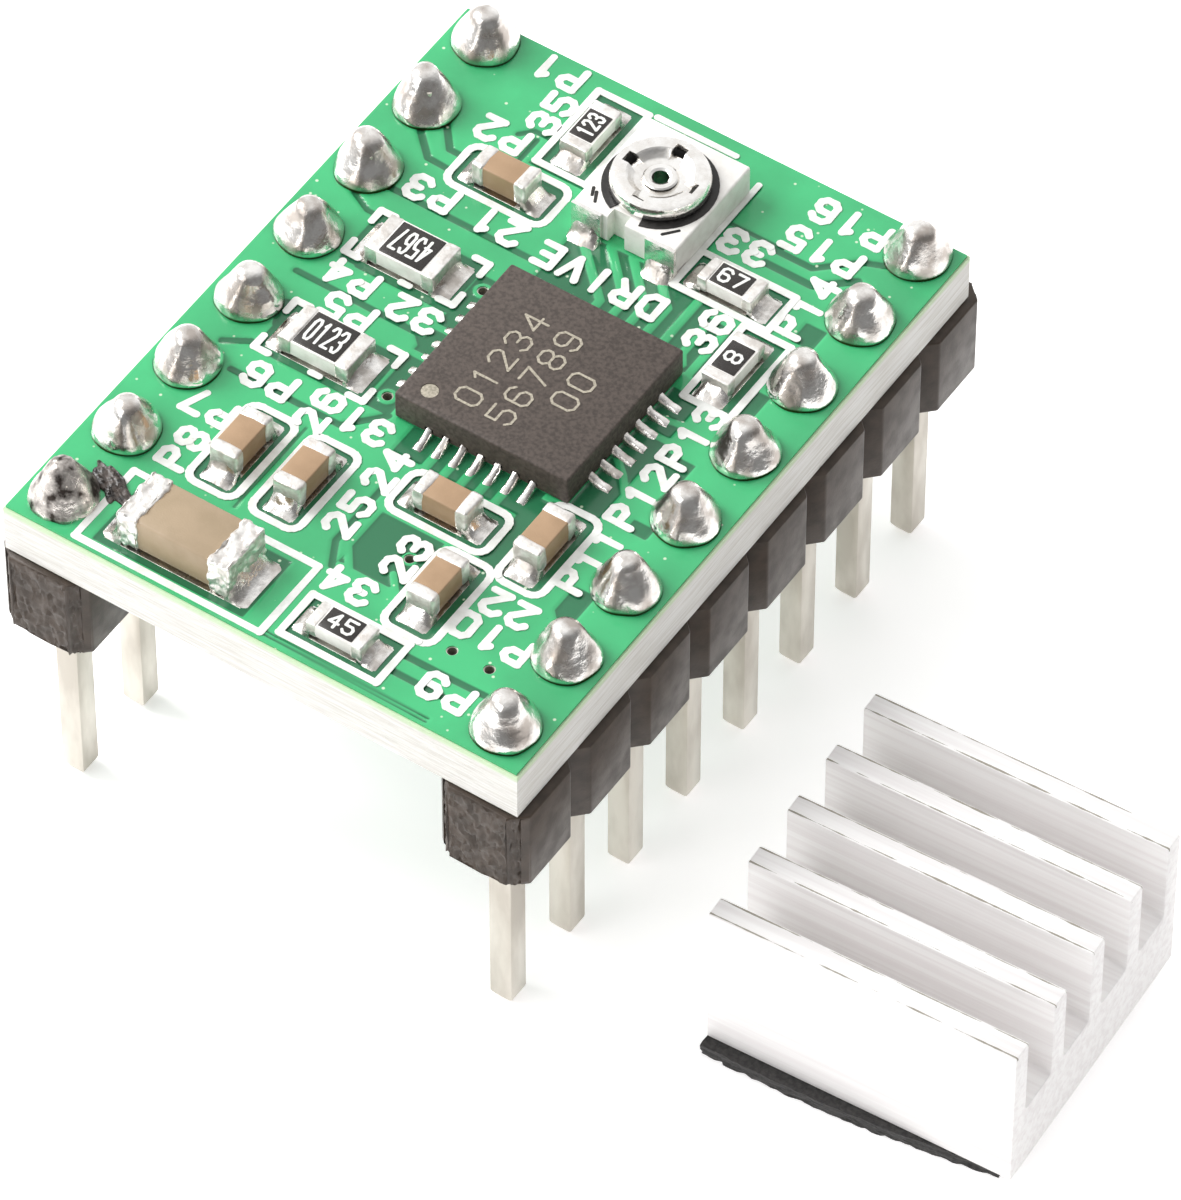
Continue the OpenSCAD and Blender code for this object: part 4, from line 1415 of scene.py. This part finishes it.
class DRIVER_OT_trimmer(bpy.types.Operator):
    """Build the trimmer: ceramic base, track, rotor with its cross slot, rivet and terminals"""

    bl_idname = "driver.trimmer"
    bl_label = "Trimmer"

    def execute(self, context):
        low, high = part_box("pot_base")
        base = new_box("trimmer_base", low, high)
        bevel(base, 0.06 * MM, segments=3)
        rotor_low, rotor_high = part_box("pot_rotor")
        axis = (rotor_low + rotor_high) / 2
        cut(base, new_disc("bore", (axis.x, axis.y, low.z - 1 * MM), 0.36 * MM, 3 * MM, 40))
        key_low = (axis.x - 0.5 * MM, low.y - 1 * MM, low.z - 1 * MM)
        key_high = (axis.x, low.y + 0.3 * MM, high.z + 1 * MM)
        cut(base, new_box("key", key_low, key_high))
        smooth(base, 30)
        hand_over(base, "module", finish("White ceramic"), ["pot_base"])
        self.rotor(axis, rotor_low, rotor_high)
        self.ticks(axis, high.z)
        coat({"pot_track": finish("Carbon film"), "pot_terminals": finish("Stamped metal")})
        self.rivet(axis)
        self.solder()
        return {"FINISHED"}

    def ticks(self, axis, top):
        """Plain printed ticks on the ceramic, beside the track"""
        ink = Ink(0.01 * MM, 0.001 * MM)
        for start, end in (
            ((0.93, -1.32), (1.2, -1.0)),
            ((-1.16, -1.06), (-1.02, -1.34)),
            ((-1.3, -0.98), (-1.2, -1.2)),
        ):
            points = [(axis.x + x * MM, axis.y + y * MM) for x, y in (start, end)]
            ink.stroke(points[0], points[1], 0.09 * MM, top - 0.003 * MM)
        hand_over(ink.make("trimmer_ticks"), "module", finish("Carbon film"))

    def rotor(self, axis, low, high):
        radius = min(high.x - low.x, high.y - low.y) / 2
        sheet = 0.12 * MM
        ceramic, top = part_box("pot_base")[1].z, high.z
        bottom, floor = ceramic + 0.1 * MM, ceramic + 0.24 * MM
        profile = [
            (0.36 * MM, floor - sheet), (0.36 * MM, floor), (0.6 * MM, floor),
            (0.67 * MM, floor + 0.03 * MM), (0.78 * MM, top - 0.05 * MM), (0.85 * MM, top),
            (radius - 0.12 * MM, top), (radius - 0.04 * MM, top - 0.04 * MM),
            (radius, top - 0.14 * MM), (radius, bottom), (radius - sheet, bottom),
            (radius - sheet, top - 0.16 * MM), (0.92 * MM, top - sheet),
            (0.72 * MM, floor - sheet), (0.36 * MM, floor - sheet),
        ]
        rotor = new_spin("rotor_cap", profile, (axis.x, axis.y, 0), 72)
        reach, half = 1.02 * MM, 0.17 * MM
        for sx, sy in ((reach, half), (half, reach)):
            slot_low = (axis.x - sx, axis.y - sy, floor + 0.001 * MM)
            slot_high = (axis.x + sx, axis.y + sy, top + 1 * MM)
            cut(rotor, new_box("slot", slot_low, slot_high))
        bevel(rotor, 0.02 * MM, segments=2, angle=45)
        smooth(rotor, 30)
        hand_over(rotor, "trimmer_rotor", finish("Stamped metal"), ["pot_rotor"])

    def rivet(self, axis):
        low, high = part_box("pot_rivet")
        profile = [
            (0.22 * MM, low.z), (0.44 * MM, low.z), (0.44 * MM, low.z + 0.06 * MM),
            (0.34 * MM, low.z + 0.06 * MM), (0.34 * MM, high.z - 0.06 * MM),
            (0.42 * MM, high.z - 0.055 * MM), (0.44 * MM, high.z - 0.03 * MM),
            (0.4 * MM, high.z), (0.28 * MM, high.z), (0.22 * MM, high.z - 0.04 * MM),
            (0.22 * MM, low.z),
        ]
        rivet = new_spin("trimmer_rivet", profile, (axis.x, axis.y, 0), 48)
        smooth(rivet, 30)
        hand_over(rivet, "module", finish("Stamped metal"), ["pot_rivet"])

    def solder(self):
        low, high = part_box("pot_terminals")
        base = solder_foot()
        mounds = []
        middle = (low.x + high.x) / 2
        spread = (high.x - low.x) / 2 - 0.42 * MM
        for i, (x, y, turn) in enumerate(
            (
                (middle - spread, low.y + 0.05 * MM, -math.pi / 2),
                (middle + spread, low.y + 0.05 * MM, -math.pi / 2),
                (middle, high.y - 0.05 * MM, math.pi / 2),
            )
        ):
            size = (0.42 * MM, 0.9 * MM)
            mounds.append(
                mound(f"terminal_{i}", size, 0.08 * MM, 0.55 * MM, (x, y, base), turn, 8, 60 + i)
            )
        piece = join(mounds, "terminal_solder")
        hand_over(piece, "module", finish("Solder"), ["pot_solder"])


class DRIVER_OT_heat_sink(bpy.types.Operator):
    """Extrude the finned heat sink and cut its adhesive pad"""

    bl_idname = "driver.heat_sink"
    bl_label = "Heat sink"

    def execute(self, context):
        settings = context.scene.driver_parts
        low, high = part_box("heatsink")
        middle = (low + high) / 2
        length, width = settings.sink_length, settings.sink_width
        fin, plate = FIN * MM, 2.15 * MM
        pitch = (width - fin) / (settings.fin_count - 1)
        sink = new_block("fin_block", length, width, low.z, high.z)
        for i in range(settings.fin_count - 1):
            near = -width / 2 + fin + i * pitch
            groove_high = (length, near + pitch - fin, high.z + 1 * MM)
            groove = new_box("groove", (-length, near, low.z + plate), groove_high)
            bevel(groove, 0.12 * MM, segments=3)
            cut(sink, groove)
        bevel(sink, 0.05 * MM, segments=2, angle=40)
        smooth(sink, 30)
        place(sink, (middle.x, middle.y, 0), settings.sink_turn)
        metal = fin_material(settings, (middle.x, middle.y, 0), high.z)
        hand_over(sink, "heat_sink", metal, ["heatsink"])
        self.pad(settings, middle, length - 0.4 * MM, width - 0.3 * MM)
        return {"FINISHED"}

    def pad(self, settings, middle, length, width):
        """The foam pad, cut by hand: its near edge bulges out from under the plate"""
        low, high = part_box("heatsink_pad")
        pad = new_block("sticky_pad", length, width, low.z, high.z)
        subdivide(pad, 60)
        for vertex in pad.data.vertices:
            edge = min(length / 2 - abs(vertex.co.x), width / 2 - abs(vertex.co.y))
            near = 0.5 - vertex.co.y / width
            along = 0.5 + vertex.co.x / length
            bulge = (0.62 * MM) * (1 - along) + (1.1 * MM) * along * (1 - along)
            if edge < 0.02 * MM:
                ragged = noise.noise(vertex.co / (0.22 * MM)) + 0.6 * noise.noise(
                    vertex.co / (0.07 * MM)
                )
                low_edge = 1.0 - 0.6 * (vertex.co.z - low.z) / (high.z - low.z)
                shift = 0.08 * MM * low_edge * (0.3 + ragged)
                vertex.co.x -= math.copysign(shift, vertex.co.x)
                vertex.co.y -= math.copysign(shift, vertex.co.y)
            vertex.co.y -= near * (bulge - 0.15 * MM) * 0.75
        smooth(pad, 30)
        place(pad, (middle.x - 0.2 * MM, middle.y - 0.12 * MM, 0), settings.sink_turn)
        hand_over(pad, "heat_sink", finish("Adhesive pad"), ["heatsink_pad"])


def studio_world(settings):
    """Soft white all round, brighter towards the back left and dimmer over the viewer"""
    world = bpy.data.worlds.new("Studio")
    world.use_nodes = True
    tree = world.node_tree
    where = add_node(tree, "TexCoord").outputs["Generated"]
    towards_light = {0: where, 1: (-0.74, 0.5, 0.45)}
    facing = add_node(tree, "VectorMath", towards_light, operation="DOT_PRODUCT")
    levels = {
        "Value": facing.outputs["Value"],
        "From Min": -0.5,
        "From Max": 0.7,
        "To Min": 0.3 * settings.sky,
        "To Max": 1.35 * settings.sky,
    }
    level = add_node(tree, "MapRange", levels, interpolation_type="SMOOTHSTEP")
    tree.links.new(level.outputs["Result"], tree.nodes["Background"].inputs["Strength"])
    tree.nodes["Background"].inputs["Color"].default_value = (1, 1, 1, 1)
    return world


class DRIVER_OT_stage(bpy.types.Operator):
    """Set the camera, the pale floor and the soft lights"""

    bl_idname = "driver.stage"
    bl_label = "Stage"

    def execute(self, context):
        settings = context.scene.driver_stage
        self.camera(context, settings)
        bpy.ops.object.select_all(action="DESELECT")
        bpy.ops.mesh.primitive_plane_add(size=2.0, location=(0, 0, 0))
        floor = context.object
        floor.name = "floor"
        floor.data.materials.append(finish("Pale floor"))
        self.light("key", (-0.17, -0.02, 0.15), 0.12, settings.key_power)
        self.light("fill", (-0.12, -0.26, 0.2), 0.25, settings.fill_power)
        context.scene.world = studio_world(settings)
        context.scene.view_settings.view_transform = "Standard"
        return {"FINISHED"}

    def camera(self, context, settings):
        a, e = settings.azimuth, settings.elevation
        back = Vector((math.sin(a) * math.cos(e), -math.cos(a) * math.cos(e), math.sin(e)))
        data = bpy.data.cameras.new("view")
        data.lens = settings.lens
        data.clip_start, data.clip_end = 0.01, 10
        camera = bpy.data.objects.new("view", data)
        camera.location = Vector(settings.target) + back * settings.distance
        camera.rotation_euler = (-back).to_track_quat("-Z", "Y").to_euler()
        context.scene.collection.objects.link(camera)
        context.scene.camera = camera

    def light(self, name, place_at, size, power):
        data = bpy.data.lights.new(name, "AREA")
        data.size, data.energy = size, power
        lamp = bpy.data.objects.new(name, data)
        lamp.location = place_at
        lamp.rotation_euler = (-Vector(place_at)).to_track_quat("-Z", "Y").to_euler()
        bpy.context.scene.collection.objects.link(lamp)


class DRIVER_PT_panel(bpy.types.Panel):
    """Lists the steps in the sidebar"""

    bl_idname = "DRIVER_PT_panel"
    bl_label = "Stepper driver module"
    bl_space_type = "VIEW_3D"
    bl_region_type = "UI"
    bl_category = "Driver"

    def draw(self, context):
        for step in STEPS:
            self.layout.operator(step.bl_idname)


STEPS = (
    DRIVER_OT_stage,
    DRIVER_OT_board,
    DRIVER_OT_legend,
    DRIVER_OT_cones,
    DRIVER_OT_strips,
    DRIVER_OT_chip,
    DRIVER_OT_passives,
    DRIVER_OT_trimmer,
    DRIVER_OT_heat_sink,
)
SETTINGS = (BoardSettings, PartSettings, StageSettings)


def register():
    for item in SETTINGS + STEPS + (DRIVER_PT_panel,):
        bpy.utils.register_class(item)
    bpy.types.Scene.driver_board = PointerProperty(type=BoardSettings)
    bpy.types.Scene.driver_parts = PointerProperty(type=PartSettings)
    bpy.types.Scene.driver_stage = PointerProperty(type=StageSettings)


def unregister():
    del bpy.types.Scene.driver_board, bpy.types.Scene.driver_parts, bpy.types.Scene.driver_stage
    for item in reversed(SETTINGS + STEPS + (DRIVER_PT_panel,)):
        bpy.utils.unregister_class(item)


def main():
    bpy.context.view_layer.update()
    register()
    for step in STEPS:
        group, name = step.bl_idname.split(".")
        getattr(getattr(bpy.ops, group), name)()


if __name__ == "__main__":
    main()
